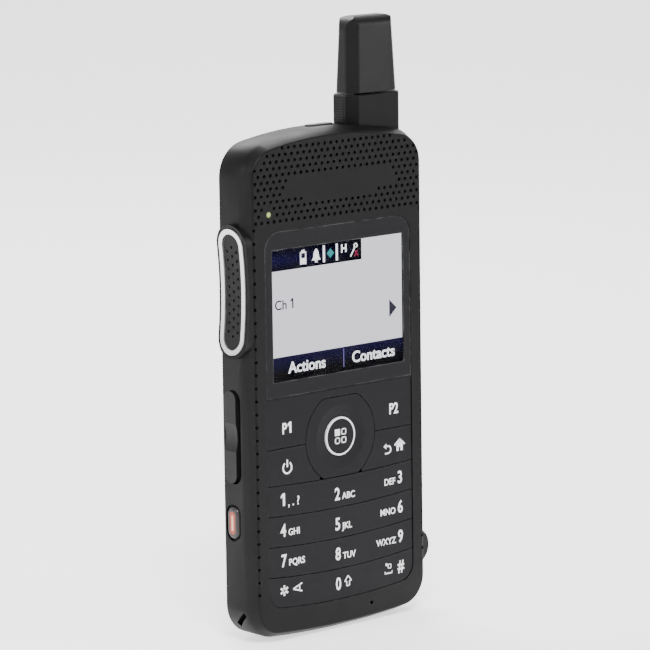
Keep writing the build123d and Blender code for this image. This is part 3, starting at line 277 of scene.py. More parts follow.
def repeat(name, places, tree, finish, sizes):
    """Runs a repeat tree on these places (millimetres) and returns a plain mesh object."""
    piece = mesh_piece(name, places, [])
    maker = piece.modifiers.new(name, "NODES")
    maker.node_group = tree
    sockets = {
        item.name: item.identifier
        for item in tree.interface.items_tree
        if item.item_type == "SOCKET" and item.in_out == "INPUT"
    }
    for size, value in sizes.items():
        maker[sockets[size]] = value
    maker[sockets["Finish"]] = finish
    return finished_mesh(piece)


# ---- shared surface effects ----------------------------------------------------------
def effect_group(name, inputs, outputs):
    group = bpy.data.node_groups.new(name, "ShaderNodeTree")
    for socket, value in inputs.items():
        made = group.interface.new_socket(socket, in_out="INPUT", socket_type="NodeSocketFloat")
        made.default_value = value
    for socket in outputs:
        group.interface.new_socket(socket, in_out="OUTPUT", socket_type="NodeSocketFloat")
    make = NodeMaker(group)
    return group, make, make.add("NodeGroupInput"), make.add("NodeGroupOutput")


def per_metre(make, size_mm):
    """Texture scale for features of this many millimetres."""
    return make.math("DIVIDE", 1000.0, size_mm)


def moulded_grain_group():
    """Fine spark-eroded texture of a moulding: a height and a light fleck mask."""
    group, make, entry, leave = effect_group(
        "moulded grain", {"Grain size": 0.3}, ["Height", "Fleck"]
    )
    place = make.place()
    scale = per_metre(make, entry.outputs["Grain size"])
    pebbles = make.add(
        "ShaderNodeTexVoronoi", {"Vector": place, "Scale": scale}, feature="SMOOTH_F1"
    )
    fine = make.noise(place, scale, 3.0)
    height = make.math("ADD", pebbles.outputs["Distance"], fine)
    make.feed(leave.inputs["Height"], make.math("MULTIPLY", height, 0.5))
    make.feed(leave.inputs["Fleck"], make.ramp(fine, 0.58, 0.75))
    return group


def handling_group():
    """Broad soft smears where hands have polished or greased the surface."""
    group, make, entry, leave = effect_group(
        "handling marks", {"Mark size": 14.0}, ["Smear", "Cloud"]
    )
    place = make.place()
    scale = per_metre(make, entry.outputs["Mark size"])
    cloud = make.noise(place, scale, 5.0, Distortion=0.6)
    stretched = make.add(
        "ShaderNodeMapping", {"Vector": place, "Scale": (1.0, 1.0, 3.4), "Rotation": (0.3, 0.5, 0.2)}
    )
    streak = make.noise(stretched.outputs["Vector"], scale, 4.0, Roughness=0.7)
    make.feed(leave.inputs["Smear"], make.ramp(make.math("MULTIPLY", cloud, streak), 0.18, 0.4))
    make.feed(leave.inputs["Cloud"], cloud)
    return group


def edge_wear_group():
    """Light rubbing on outer corners, broken up so that it is never an even line."""
    group, make, entry, leave = effect_group("edge wear", {"Wear width": 0.3}, ["Wear"])
    radius = make.math("MULTIPLY", entry.outputs["Wear width"], MM)
    rounded = make.add("ShaderNodeBevel", {"Radius": radius}, samples=4)
    true = make.add("ShaderNodeNewGeometry")
    agree = make.add("ShaderNodeVectorMath", operation="DOT_PRODUCT")
    make.feed(agree.inputs[0], rounded.outputs["Normal"])
    make.feed(agree.inputs[1], true.outputs["Normal"])
    edge = make.ramp(agree.outputs["Value"], 0.99, 0.88)
    broken = make.ramp(make.noise(make.place(), 420.0, 4.0), 0.35, 0.65)
    make.feed(leave.inputs["Wear"], make.math("MULTIPLY", edge, broken))
    return group


def dust_group():
    """Sparse specks that settle on faces that look up."""
    group, make, entry, leave = effect_group("settled dust", {"Speck size": 0.35}, ["Dust"])
    scale = per_metre(make, entry.outputs["Speck size"])
    specks = make.add("ShaderNodeTexVoronoi", {"Vector": make.place(), "Scale": scale})
    dot = make.ramp(specks.outputs["Distance"], 0.16, 0.08)
    rare = make.ramp(specks.outputs["Color"], 0.86, 0.9)
    normal = make.add("ShaderNodeNewGeometry").outputs["Normal"]
    facing = make.add("ShaderNodeSeparateXYZ", {"Vector": normal})
    up = make.ramp(facing.outputs["Z"], -0.2, 0.9, 0.15)
    dust = make.math("MULTIPLY", dot, rare)
    make.feed(leave.inputs["Dust"], make.math("MULTIPLY", dust, up))
    return group


def brushed_group():
    """Fine parallel lines left by brushing or turning."""
    group, make, entry, leave = effect_group("brushed lines", {"Line spacing": 0.12}, ["Lines"])
    stretched = make.add("ShaderNodeMapping", {"Vector": make.place(), "Scale": (1.0, 1.0, 0.04)})
    scale = per_metre(make, entry.outputs["Line spacing"])
    make.feed(leave.inputs["Lines"], make.noise(stretched.outputs["Vector"], scale, 2.0))
    return group


GRAIN = moulded_grain_group()
HANDLING = handling_group()
EDGE_WEAR = edge_wear_group()
DUST = dust_group()
BRUSHED = brushed_group()


# ---- finishes ------------------------------------------------------------------------
def rgba(colour):
    return (*colour, 1.0)


DUST_COLOUR = rgba((0.42, 0.4, 0.37))


class Finish:
    """One material: a Principled shader fed by the shared effects."""

    def __init__(self, name, **plain):
        self.material = bpy.data.materials.new(name)
        self.material.use_nodes = True
        tree = self.material.node_tree
        self.make = NodeMaker(tree)
        self.shader = tree.nodes["Principled BSDF"]
        for socket, value in plain.items():
            self.shader.inputs[socket.replace("_", " ")].default_value = value

    def effect(self, group, **values):
        node = self.make.add("ShaderNodeGroup", node_tree=group)
        for socket, value in values.items():
            node.inputs[socket.replace("_", " ")].default_value = value
        return node

    def surface(self, colour, roughness, grain=0.3, relief=0.02, wear=0.25, dust=0.35,
                marks=0.1, worn=None, speck=0.12):
        """The usual build-up: base colour, clouding, rubbed edges, dust, grain and smears."""
        make = self.make
        grains = self.effect(GRAIN, Grain_size=grain)
        hands = self.effect(HANDLING)
        rubbed = self.effect(EDGE_WEAR)
        dusty = self.effect(DUST)
        base = colour if isinstance(colour, bpy.types.NodeSocket) else rgba(colour)
        plain = colour if not isinstance(colour, bpy.types.NodeSocket) else (0.06, 0.06, 0.06)
        lighter = rgba([min(1.0, c * 1.5 + 0.002) for c in plain])
        worn_colour = rgba(worn or [min(1.0, c * 2.2 + 0.03) for c in plain])
        final = make.mix(make.math("MULTIPLY", hands.outputs["Cloud"], 0.25), base, lighter)
        for mask, amount, layer in (
            (grains.outputs["Fleck"], speck, lighter),
            (rubbed.outputs["Wear"], wear, worn_colour),
            (dusty.outputs["Dust"], dust, DUST_COLOUR),
        ):
            final = make.mix(make.math("MULTIPLY", mask, amount), final, layer)
        self.feed("Base Color", final)
        smear = make.math("MULTIPLY", hands.outputs["Smear"], -marks)
        rough = make.math("ADD", smear, roughness + marks / 2)
        polish = make.math("MULTIPLY", rubbed.outputs["Wear"], -0.12)
        self.feed("Roughness", make.math("ADD", rough, polish, clamp=True))
        self.bump(grains.outputs["Height"], relief)
        return self

    def feed(self, socket, value):
        self.make.feed(self.shader.inputs[socket], value)

    def bump(self, height, relief_mm, strength=1.0):
        node = self.make.add(
            "ShaderNodeBump", {"Height": height, "Distance": relief_mm * MM, "Strength": strength}
        )
        previous = self.shader.inputs["Normal"]
        if previous.is_linked:
            self.make.feed(node.inputs["Normal"], previous.links[0].from_socket)
        self.make.feed(previous, node.outputs["Normal"])
        return self

    def brushed(self, colour, roughness, spacing=0.12, relief=0.006):
        lines = self.effect(BRUSHED, Line_spacing=spacing).outputs["Lines"]
        hands = self.effect(HANDLING)
        darker = rgba([c * 0.72 for c in colour])
        make = self.make
        self.feed("Base Color", make.mix(lines, darker, rgba(colour)))
        shift = make.math("MULTIPLY", lines, 0.16)
        rough = make.math("ADD", shift, roughness - 0.08)
        smear = make.math("MULTIPLY", hands.outputs["Smear"], 0.08)
        self.feed("Roughness", make.math("ADD", rough, smear, clamp=True))
        self.bump(lines, relief)
        return self


def distance(make, across, along):
    squares = [make.math("MULTIPLY", side, side) for side in (across, along)]
    return make.math("SQRT", make.math("ADD", *squares))


def pill_mask(finish, centre_y, centre_z, half_length, radius, edge=0.12):
    """1 inside an upright pill on the side of the body, 0 outside."""
    make = finish.make
    place = finish.make.place_xyz()
    across = make.math("SUBTRACT", place["Y"], centre_y * MM)
    along = make.math("ABSOLUTE", make.math("SUBTRACT", place["Z"], centre_z * MM))
    past_end = make.math("MAXIMUM", make.math("SUBTRACT", along, half_length * MM), 0.0)
    return make.ramp(distance(make, across, past_end), (radius + edge) * MM, (radius - edge) * MM)


def body_plastic():
    finish = Finish("grained black housing plastic", IOR=1.46, Specular_IOR_Level=0.15)
    return finish.surface(
        (0.0030, 0.0030, 0.0032), 0.42, grain=0.28, relief=0.022, wear=0.4, marks=0.1,
    ).material


def key_plastic():
    finish = Finish("satin keypad plastic", IOR=1.46, Specular_IOR_Level=0.14)
    return finish.surface(
        (0.0045, 0.0041, 0.0054), 0.38, grain=0.16, relief=0.008, wear=0.35, marks=0.12, speck=0.06,
    ).material


def cap_plastic():
    finish = Finish("satin antenna plastic", IOR=1.46, Specular_IOR_Level=0.22)
    return finish.surface(
        (0.004, 0.004, 0.0045), 0.34, grain=0.22, relief=0.012, wear=0.35, marks=0.12,
    ).material


def gloss_black():
    finish = Finish("printed border under gloss", IOR=1.46, Specular_IOR_Level=0.16)
    return finish.surface(
        (0.004, 0.004, 0.005), 0.16, grain=0.1, relief=0.001, wear=0.7, dust=0.5, marks=0.1,
        worn=(0.2, 0.2, 0.22), speck=0.02,
    ).material


def window_glass():
    finish = Finish(
        "clear display window", IOR=1.06, Transmission_Weight=1.0, Metallic=0.0,
        Specular_IOR_Level=0.2,
    )
    make = finish.make
    smear = finish.effect(HANDLING, Mark_size=11.0).outputs["Smear"]
    clean, smeared = rgba((1.0, 1.0, 1.0)), rgba((0.93, 0.94, 0.96))
    finish.feed("Base Color", make.mix(make.math("MULTIPLY", smear, 0.15), clean, smeared))
    rough = make.math("MULTIPLY", smear, 0.03)
    finish.feed("Roughness", make.math("ADD", rough, 0.01))
    return finish.material


def talk_rubber():
    finish = Finish("grey talk bar rubber", IOR=1.45, Specular_IOR_Level=0.16)
    return finish.surface(
        (0.006, 0.006, 0.0064), 0.5, grain=0.2, relief=0.02, wear=0.25, dust=0.5, marks=0.08,
    ).material


def silver_paint():
    finish = Finish("satin silver paint", IOR=1.45, Metallic=0.85, Coat_Weight=0.3, Coat_Roughness=0.2)
    return finish.surface(
        (0.62, 0.62, 0.63), 0.34, grain=0.09, relief=0.003, wear=0.4, dust=0.3, marks=0.12,
        worn=(0.5, 0.49, 0.47), speck=0.25,
    ).material


def orange_key(node):
    """Orange insert in a grey bezel, on one moulded key, with a painted highlight streak down the middle
    of the insert.
    """
    low, high = box_mm(node)
    middle = (low + high) / 2
    finish = Finish("orange key in dark bezel with painted highlight", IOR=1.46, Specular_IOR_Level=0.4)
    insert = pill_mask(finish, middle.y, middle.z, 1.7, 0.95)
    # Painted highlight: a pale streak in the middle of the insert stands in for a glint of light.
    painted_highlight = pill_mask(finish, middle.y, middle.z, 1.5, 0.28, 0.18)
    colour = finish.make.mix(insert, rgba((0.012, 0.010, 0.010)), rgba((0.34, 0.035, 0.006)))
    colour = finish.make.mix(painted_highlight, colour, rgba((0.8, 0.5, 0.38)))
    return finish.surface(
        colour, 0.36, grain=0.12, relief=0.004, wear=0.15, marks=0.1, worn=(0.5, 0.3, 0.22),
        speck=0.02,
    ).material


def plain_plastic(name, colour, roughness=0.5, grain=0.25, relief=0.01, **more):
    finish = Finish(name, IOR=1.46, Specular_IOR_Level=0.22)
    return finish.surface(colour, roughness, grain=grain, relief=relief, **more).material


def metal(name, colour, roughness, spacing=0.12):
    finish = Finish(name, Metallic=1.0)
    return finish.brushed(colour, roughness, spacing).material


def woven_mesh():
    """Fine acoustic cloth behind the sound holes."""
    finish = Finish("woven acoustic cloth", IOR=1.4, Sheen_Weight=0.2)
    make = finish.make
    place = finish.make.place_xyz()
    waves = []
    for axis in ("X", "Z"):
        turns = make.math("MULTIPLY", place[axis], 2 * math.pi / (0.3 * MM))
        waves.append(make.math("SINE", turns))
    weave = make.math("MULTIPLY", *waves)
    half = make.math("MULTIPLY", weave, 0.5)
    thread = make.math("ADD", half, 0.5)
    colour = make.mix(thread, rgba((0.006, 0.006, 0.006)), rgba((0.035, 0.035, 0.036)))
    finish.feed("Base Color", colour)
    rough = make.math("MULTIPLY", thread, 0.15)
    finish.feed("Roughness", make.math("ADD", rough, 0.7))
    finish.bump(thread, 0.05)
    return finish.material


def circuit_board():
    """Green solder mask with copper runs showing through it."""
    finish = Finish("solder mask over copper runs", IOR=1.5, Coat_Weight=0.4, Coat_Roughness=0.1)
    make = finish.make
    place = make.place()
    turned = make.add("ShaderNodeMapping", {"Vector": place, "Rotation": (math.pi / 2, 0.0, 0.0)})
    runs = make.add(
        "ShaderNodeTexBrick",
        {"Vector": turned.outputs["Vector"], "Scale": 260.0, "Mortar Size": 0.045,
         "Color1": rgba((0.008, 0.075, 0.03)), "Color2": rgba((0.010, 0.09, 0.036)),
         "Mortar": rgba((0.03, 0.17, 0.06))},
    )
    finish.surface(runs.outputs["Color"], 0.32, grain=0.3, relief=0.004, wear=0.2, speck=0.02)
    finish.bump(runs.outputs["Fac"], 0.03)
    return finish.material


def wound_copper():
    finish = Finish("enamelled copper winding", Metallic=1.0, Coat_Weight=0.5, Coat_Roughness=0.15)
    make = finish.make
    place = finish.make.place_xyz()
    turns = make.math("SINE", make.math("MULTIPLY", place["Z"], 2 * math.pi / (0.4 * MM)))
    strand = make.math("ADD", make.math("MULTIPLY", turns, 0.5), 0.5)
    copper = make.mix(strand, rgba((0.2, 0.07, 0.03)), rgba((0.75, 0.36, 0.18)))
    collar_top = box_mm("antenna_cap")[0].z + 1.0
    collar = make.ramp(place["Z"], (collar_top + 0.1) * MM, collar_top * MM)
    colour = make.mix(collar, copper, rgba((0.004, 0.004, 0.004)))
    finish.feed("Base Color", colour)
    rough = make.math("MULTIPLY", strand, -0.1)
    finish.feed("Roughness", make.math("ADD", rough, 0.4))
    finish.bump(strand, 0.05)
    return finish.material


LABEL_BAND_HEIGHT = 12


def battery_sleeve():
    """Dark printed sleeve with a lighter band and a rubbed film."""
    high = box_mm("battery_pack")[1]
    finish = Finish("battery sleeve film", IOR=1.5, Coat_Weight=0.5, Coat_Roughness=0.2)
    place = finish.make.place_xyz()
    start = high.z - LABEL_BAND_HEIGHT
    band = finish.make.ramp(place["Z"], start * MM, (start + 0.3) * MM)
    colour = finish.make.mix(band, rgba((0.035, 0.036, 0.04)), rgba((0.17, 0.18, 0.2)))
    return finish.surface(colour, 0.38, grain=0.6, relief=0.01, wear=0.3).material


def lit(name, colour_socket_maker, strength):
    """A surface that gives its own light: the display picture and the status light."""
    finish = Finish(name, IOR=1.45, Roughness=0.5, Specular_IOR_Level=0.05, Emission_Strength=strength)
    colour = colour_socket_maker(finish)
    finish.feed("Emission Color", colour)
    finish.shader.inputs["Base Color"].default_value = (0.0, 0.0, 0.0, 1.0)
    return finish.material


def picture_ground(finish):
    """Pale, slightly lavender ground with a soft brighter sweep across it."""
    make = finish.make
    place = make.place()
    sweep = make.noise(place, 26.0, 1.0)
    fine = make.noise(place, 2600.0, 1.0)
    blend = make.mix(sweep, rgba((0.70, 0.69, 0.80)), rgba((0.86, 0.86, 0.90)))
    return make.mix(make.math("MULTIPLY", fine, 0.06), blend, rgba((0.6, 0.6, 0.7)))


def header_colour(finish):
    """Navy at the left fading to black at the right, darker at top and bottom."""
    make = finish.make
    place = finish.make.place_xyz()
    middle = SCREEN_TOP - HEADER_HEIGHT / 2
    off = make.math("ABSOLUTE", make.math("SUBTRACT", place["Z"], middle * MM))
    upright = make.ramp(off, 0.0, HEADER_HEIGHT * 0.5 * MM, 1.0, 0.08)
    along = make.ramp(place["X"], SCREEN_LEFT * MM, HEADER_END * MM, 1.0, 0.04)
    glow = make.math("MULTIPLY", upright, along)
    return make.mix(glow, rgba((0.0, 0.0, 0.001)), rgba((0.004, 0.002, 0.045)))


def soft_key_colour(finish):
    """Navy at the top edge of the bar, black below."""
    make = finish.make
    place = finish.make.place_xyz()
    fade_start = SCREEN_BOTTOM + SOFT_KEY_HEIGHT * 0.3
    fade = make.ramp(place["Z"], fade_start * MM, (SCREEN_BOTTOM + SOFT_KEY_HEIGHT) * MM)
    return make.mix(fade, rgba((0.0, 0.0, 0.0005)), rgba((0.006, 0.004, 0.04)))


def speckled_light(colour):
    """A lit colour with a faint dot pattern, as a display shows it."""

    def colour_of(finish):
        make = finish.make
        dots = make.noise(make.place(), 3200.0, 0.0)
        dim = rgba([c * 0.85 for c in colour])
        return make.mix(dots, dim, rgba(colour))

    return colour_of


def printed_white():
    finish = Finish("white key print", IOR=1.45)
    return finish.surface(
        (0.78, 0.78, 0.80), 0.5, grain=0.12, relief=0.003, wear=0.25, dust=0.2,
        worn=(0.5, 0.5, 0.5), speck=0.1,
    ).material


def status_lamp():
    """Yellow-green lamp, whitest in the middle."""
    low, high = box_mm("status_light")
    centre_x = (low.x + high.x) / 2
    centre_z = high.z - (high.x - low.x) / 2

    def colour_of(finish):
        make = finish.make
        place = finish.make.place_xyz()
        dx = make.math("SUBTRACT", place["X"], centre_x * MM)
        dz = make.math("SUBTRACT", place["Z"], centre_z * MM)
        away = make.ramp(distance(make, dx, dz), 0.0, 0.65 * MM)
        return make.mix(away, rgba((0.95, 1.0, 0.6)), rgba((0.28, 0.42, 0.05)))

    return lit("yellow-green status lamp", colour_of, 1.3)


# ---- the display picture -------------------------------------------------------------
SCREEN_HALF = 20.32
SCREEN_LEFT = MIDDLE_X - SCREEN_HALF
SCREEN_RIGHT = MIDDLE_X + SCREEN_HALF
SCREEN_BOTTOM = LENS_LOW.z + 3.6
SCREEN_TOP = SCREEN_BOTTOM + 30.48
HEADER_HEIGHT = 4.9
HEADER_END = MIDDLE_X + 7.6
SOFT_KEY_HEIGHT = 5.6
PANEL_D = PANEL_LOW.y - FRONT_Y


FINISHES = {
    "housing": body_plastic(),
    "antenna_cap": cap_plastic(),
    "seal": plain_plastic("black sealing rubber", (0.012, 0.012, 0.012), 0.7, relief=0.015),
    "chassis": metal("cast light alloy", (0.6, 0.61, 0.63), 0.42, 0.5),
    "steel": metal("plain steel", (0.58, 0.58, 0.59), 0.3),
    "lens": gloss_black(),
    "display": plain_plastic("display frame", (0.02, 0.02, 0.022), 0.3, relief=0.002),
    "status_light": status_lamp(),
    "speaker": plain_plastic("speaker basket plastic", (0.03, 0.03, 0.032), 0.5),
    "speaker_cone": plain_plastic("pressed speaker film", (0.06, 0.06, 0.065), 0.4, grain=0.5),
    "mesh": woven_mesh(),
    "board": circuit_board(),
    "tin": metal("tinned sheet", (0.72, 0.72, 0.73), 0.26, 0.3),
    "dome_sheet": plain_plastic("dome sheet film", (0.55, 0.52, 0.42), 0.3, relief=0.004),
    "key": key_plastic(),
    "ring_white": plain_plastic("white ring plastic", (0.72, 0.72, 0.74), 0.25, grain=0.1, relief=0.002),
    "web": plain_plastic("grey silicone web", (0.3, 0.3, 0.31), 0.6, relief=0.012),
    "talk_rubber": talk_rubber(),
    "silver_ring": silver_paint(),
    "switch": plain_plastic("switch body plastic", (0.05, 0.05, 0.05), 0.4),
    "side_plastic": plain_plastic("dark side key plastic", (0.0055, 0.0055, 0.006), 0.42, grain=0.2),
    "orange_key": orange_key("side_button"),
    "cover_rubber": plain_plastic("soft cover rubber", (0.006, 0.006, 0.0065), 0.55, relief=0.02),
    "gold": metal("gold plating", (0.95, 0.72, 0.32), 0.22, 0.1),
    "battery": battery_sleeve(),
    "contacts": plain_plastic("contact block plastic", (0.03, 0.03, 0.032), 0.45),
    "coil": wound_copper(),
}
for part_entry in frame["record"]["subparts"]:
    slots = frame["nodes"][part_entry["node"]].data.materials
    finish_of_node = FINISHES[part_entry["material_slot"]]
    for slot_number in range(len(slots)):
        slots[slot_number] = finish_of_node


def place_piece(piece, body, finish=None):
    """Gives a new piece its body and its finish."""
    if finish is not None:
        piece.data.materials.clear()
        piece.data.materials.append(finish)
    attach(piece, body)
    return piece


# ---- dimpled front shell -------------------------------------------------------------
GRID_PITCH = 1.85
ROW_STEP = 1.51
GRID_X = (box_mm("speaker")[0].x + box_mm("speaker")[1].x) / 2 - MIDDLE_X
GRID_Z = (box_mm("speaker")[0].z + box_mm("speaker")[1].z) / 2
TOP_SAG = 3.5
TOP_CORNER = 8.0
EDGE_ROOM = 1.75
BEZEL_X = HALF_WIDTH - 1.62
LAMP_ROOM = 1.5
DIMPLE_MOUTH = 0.47
DIMPLE_FLOOR = 0.34
BAND_MIDDLE_X = 0.8
BAND_HALF_LENGTH = 17.3
BAND_HALF_HEIGHT = 2.5
LAMP_X = (box_mm("status_light")[0].x + box_mm("status_light")[1].x) / 2 - MIDDLE_X
LAMP_Z = box_mm("status_light")[1].z - 0.65
OPEN_ROWS = (-4, -3, 2, 3)
OPEN_COLUMNS = range(-4, 5)


def top_edge(x):
    """Height of the shell's top edge over this x."""
    arc = BODY_TOP - TOP_SAG * (x / HALF_WIDTH) ** 2
    into_corner = min(TOP_CORNER, max(0.0, abs(x) - (HALF_WIDTH - TOP_CORNER)))
    return arc - TOP_CORNER + math.sqrt(max(0.0, TOP_CORNER ** 2 - into_corner ** 2))


def in_plain_band(x, z):
    """The smooth lens-shaped band across the grille."""
    along = (x - BAND_MIDDLE_X) / BAND_HALF_LENGTH
    if abs(along) >= 1:
        return False
    return abs(z - GRID_Z + 0.4) < BAND_HALF_HEIGHT * (1 - along ** 4) ** 0.5 + 0.35


def dimple_places():
    """Staggered grid over the shell's top, and one column down each bezel; x from the middle."""
    places = []
    for row in range(-64, 9):
        z = GRID_Z + row * ROW_STEP
        shift = GRID_PITCH / 2 * (row % 2)
        if z > LENS_HIGH.z + 1.3:
            for column in range(-14, 17):
                x = GRID_X + column * GRID_PITCH + shift
                inside = abs(x) <= BEZEL_X + 0.05 and z <= top_edge(x) - EDGE_ROOM
                near_lamp = math.hypot(x - LAMP_X, z - LAMP_Z) < LAMP_ROOM
                open_hole = row in OPEN_ROWS and column in OPEN_COLUMNS
                if inside and not (near_lamp or open_hole or in_plain_band(x, z)):
                    places.append((x, z))
        elif row % 2 == 0 and z > 10.0:
            places += [(side * BEZEL_X, z) for side in (-1, 1)]
    return places


DIMPLE_DEPTH = 0.55
DIMPLE_LEAD = 0.03          # how far a cutter starts in front of the face
cone_tree = repeat_tree("dimple cutters", ["Mouth radius", "Floor radius", "Depth"], cone_shape)
cutters = repeat(
    "dimple_cutters",
    [(MIDDLE_X + x, FRONT_Y - DIMPLE_LEAD, z) for x, z in dimple_places()],
    cone_tree, FINISHES["housing"],
    {"Mouth radius": DIMPLE_MOUTH * MM, "Floor radius": DIMPLE_FLOOR * MM,
     "Depth": (DIMPLE_DEPTH + DIMPLE_LEAD) * MM},
)
face_outwards(cutters)
shell = copy_of("front_housing", "dimpled_shell")
combine(shell, cutters, "DIFFERENCE")
soften(shell, 30)
place_piece(shell, "radio_body", FINISHES["housing"])
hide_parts("front_housing")


# ---- talk bar with its dimples -------------------------------------------------------
def surface_x(piece, y, z):
    """Where a line along +X from outside first meets the piece, in millimetres."""
    start = Vector((-0.1, y * MM, z * MM))
    hit, place, _, _ = piece.ray_cast(start, Vector((1, 0, 0)))
    return place.x / MM if hit else None


BAR_STEP_Z = 2.05
BAR_STEP_Y = 1.55
BAR_END_ROOM = 3.2
bar = copy_of("ptt_bar", "talk_bar_pad")
bar_low, bar_high = box_mm("ptt_bar")
bar_middle_y = (bar_low.y + bar_high.y) / 2
bar_places = []
for column in (-1, 0, 1):
    for step in range(-5, 6):
        z = (bar_low.z + bar_high.z) / 2 + (step + 0.5 * (column % 2)) * BAR_STEP_Z
        y = bar_middle_y + column * BAR_STEP_Y
        x = surface_x(bar, y, z)
        clear_of_ends = bar_low.z + BAR_END_ROOM < z < bar_high.z - BAR_END_ROOM
        if x is not None and x < bar_low.x + 2.2 and clear_of_ends:
            bar_places.append((x + 0.12, y, z))
ball_tree = repeat_tree("rounded dimple cutters", ["Radius", "Flatness"], ball_shape)
bar_cutters = repeat(
    "bar_cutters", bar_places, ball_tree, FINISHES["talk_rubber"],
    {"Radius": 0.42 * MM, "Flatness": 0.9},
)
face_outwards(bar_cutters)
combine(bar, bar_cutters, "DIFFERENCE")
soften(bar, 30)
place_piece(bar, "talk_bar", FINISHES["talk_rubber"])
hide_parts("ptt_bar")


# ---- lens: printed border and clear window -------------------------------------------
WINDOW_BACK_D = 0.5


def lens_with(name, operation, x_room):
    piece = copy_of("lens_window", name)
    outline = rectangle(
        SCREEN_LEFT - x_room, SCREEN_RIGHT + x_room, SCREEN_BOTTOM - x_room, SCREEN_TOP + x_room
    )
    back = WINDOW_BACK_D if operation == "INTERSECT" else 2.0
    combine(piece, outline_plate(name + "_tool", outline, -1.0, back), operation)
    soften(piece, 30)
    return piece


lens_border = place_piece(
    lens_with("lens_border", "DIFFERENCE", 0.0), "radio_body", FINISHES["lens"]
)
lens_pane = place_piece(
    lens_with("lens_pane", "INTERSECT", -0.005), "radio_body", window_glass()
)
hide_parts("lens_window")
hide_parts("lens_window")


# ---- picture on the display ----------------------------------------------------------
def flat_text(name, words, height, x, z, front_d, back_d, align="CENTER", bold=0.0, narrow=1.0):
    """Solid lettering facing the user; height is that of a capital letter."""
    curve = bpy.data.curves.new(name, "FONT")
    curve.body = words
    curve.align_x = align
    curve.size = height / 0.729
    curve.offset = bold
    curve.resolution_u = 4
    curve.extrude = (back_d - front_d) / 2
    holder = bpy.data.objects.new(name, curve)
    bpy.context.scene.collection.objects.link(holder)
    bpy.context.view_layer.update()
    mesh = bpy.data.meshes.new_from_object(
        holder.evaluated_get(bpy.context.evaluated_depsgraph_get())
    )
    bpy.data.objects.remove(holder)
    upright = Matrix.Rotation(math.pi / 2, 4, "X")
    size = Matrix.Diagonal((narrow, 1.0, 1.0, 1.0))
    place = Matrix.Translation((x, FRONT_Y + (front_d + back_d) / 2, z - height / 2))
    mesh.transform(Matrix.Scale(MM, 4) @ place @ upright @ size)
    piece = object_from(name, mesh)
    face_outwards(piece)
    return piece


def stroke(points, width):
    """Outline of a thin straight stroke between two points."""
    (x0, z0), (x1, z1) = points
    along = Vector((x1 - x0, z1 - z0)).normalized()
    side = Vector((-along.y, along.x)) * width / 2
    return [
        (x0 + side.x, z0 + side.y), (x0 - side.x, z0 - side.y),
        (x1 - side.x, z1 - side.y), (x1 + side.x, z1 + side.y),
    ]


def arc_band(x, z, radius, width, start, end, steps=24):
    """Outline of part of a ring, from one angle to another in degrees."""
    outer, inner = [], []
    for step in range(steps + 1):
        angle = math.radians(start + (end - start) * step / steps)
        for line, r in ((outer, radius + width / 2), (inner, radius - width / 2)):
            line.append((x + r * math.cos(angle), z + r * math.sin(angle)))
    return outer + inner[::-1]


def plates(name, outlines, front_d, back_d):
    parts = [
        outline_plate(f"{name}_{index}", outline, front_d, back_d)
        for index, outline in enumerate(outlines)
    ]
    return join_pieces(name, parts)


def moved(outlines, x, z, scale=1.0):
    """Outlines drawn about the origin, put at x and z."""
    return [[(x + scale * dx, z + scale * dz) for dx, dz in outline] for outline in outlines]


def digit_one(x, z, height, thick):
    """Outline of a figure 1 with a slanted flag, centred on x and z."""
    low, high = z - height / 2, z + height / 2
    stem = x + 0.1 * height
    flag_x, flag_z = stem - 0.3 * height, high - 0.2 * height
    return [
        (stem - thick / 2, low), (stem + thick / 2, low), (stem + thick / 2, high),
        (stem - thick / 2, high), (flag_x, flag_z),
        (flag_x, flag_z - thick * 0.9), (stem - thick / 2, high - 0.25 * height),
    ]


GROUND_D = (WINDOW_BACK_D + 0.16, PANEL_D - 0.005)
BAR_D = (WINDOW_BACK_D + 0.1, WINDOW_BACK_D + 0.158)
MARK_D = (WINDOW_BACK_D + 0.03, WINDOW_BACK_D + 0.098)
LIT_WHITE = lit("lit white marks", speckled_light((0.95, 0.96, 1.0)), 2.2)
LIT_TEAL = lit("lit teal mark", speckled_light((0.05, 0.42, 0.45)), 1.0)
LIT_RED = lit("lit red mark", speckled_light((0.35, 0.03, 0.08)), 1.0)
LIT_BLUE = lit("lit violet mark", speckled_light((0.16, 0.13, 0.45)), 1.0)
DARK_MARK = lit("dark grey marks", speckled_light((0.045, 0.04, 0.07)), 1.0)


def on_screen(piece, finish):
    return place_piece(piece, "radio_body", finish)


def screen_plate(name, outline, depths, finish):
    return on_screen(outline_plate(name, outline, *depths), finish)


def screen_text(name, words, height, x, z, finish, **more):
    return on_screen(flat_text(name, words, height, x, z, *MARK_D, **more), finish)


screen_plate(
    "picture_ground", rectangle(SCREEN_LEFT, SCREEN_RIGHT, SCREEN_BOTTOM, SCREEN_TOP), GROUND_D,
    lit("pale display ground", picture_ground, 1.5),
)
screen_plate(
    "header_bar", rectangle(SCREEN_LEFT, HEADER_END, SCREEN_TOP - HEADER_HEIGHT, SCREEN_TOP), BAR_D,
    lit("navy header bar", header_colour, 1.0),
)
screen_plate(
    "soft_key_bar",
    rectangle(SCREEN_LEFT, SCREEN_RIGHT, SCREEN_BOTTOM, SCREEN_BOTTOM + SOFT_KEY_HEIGHT), BAR_D,
    lit("navy soft key bar", soft_key_colour, 1.0),
)

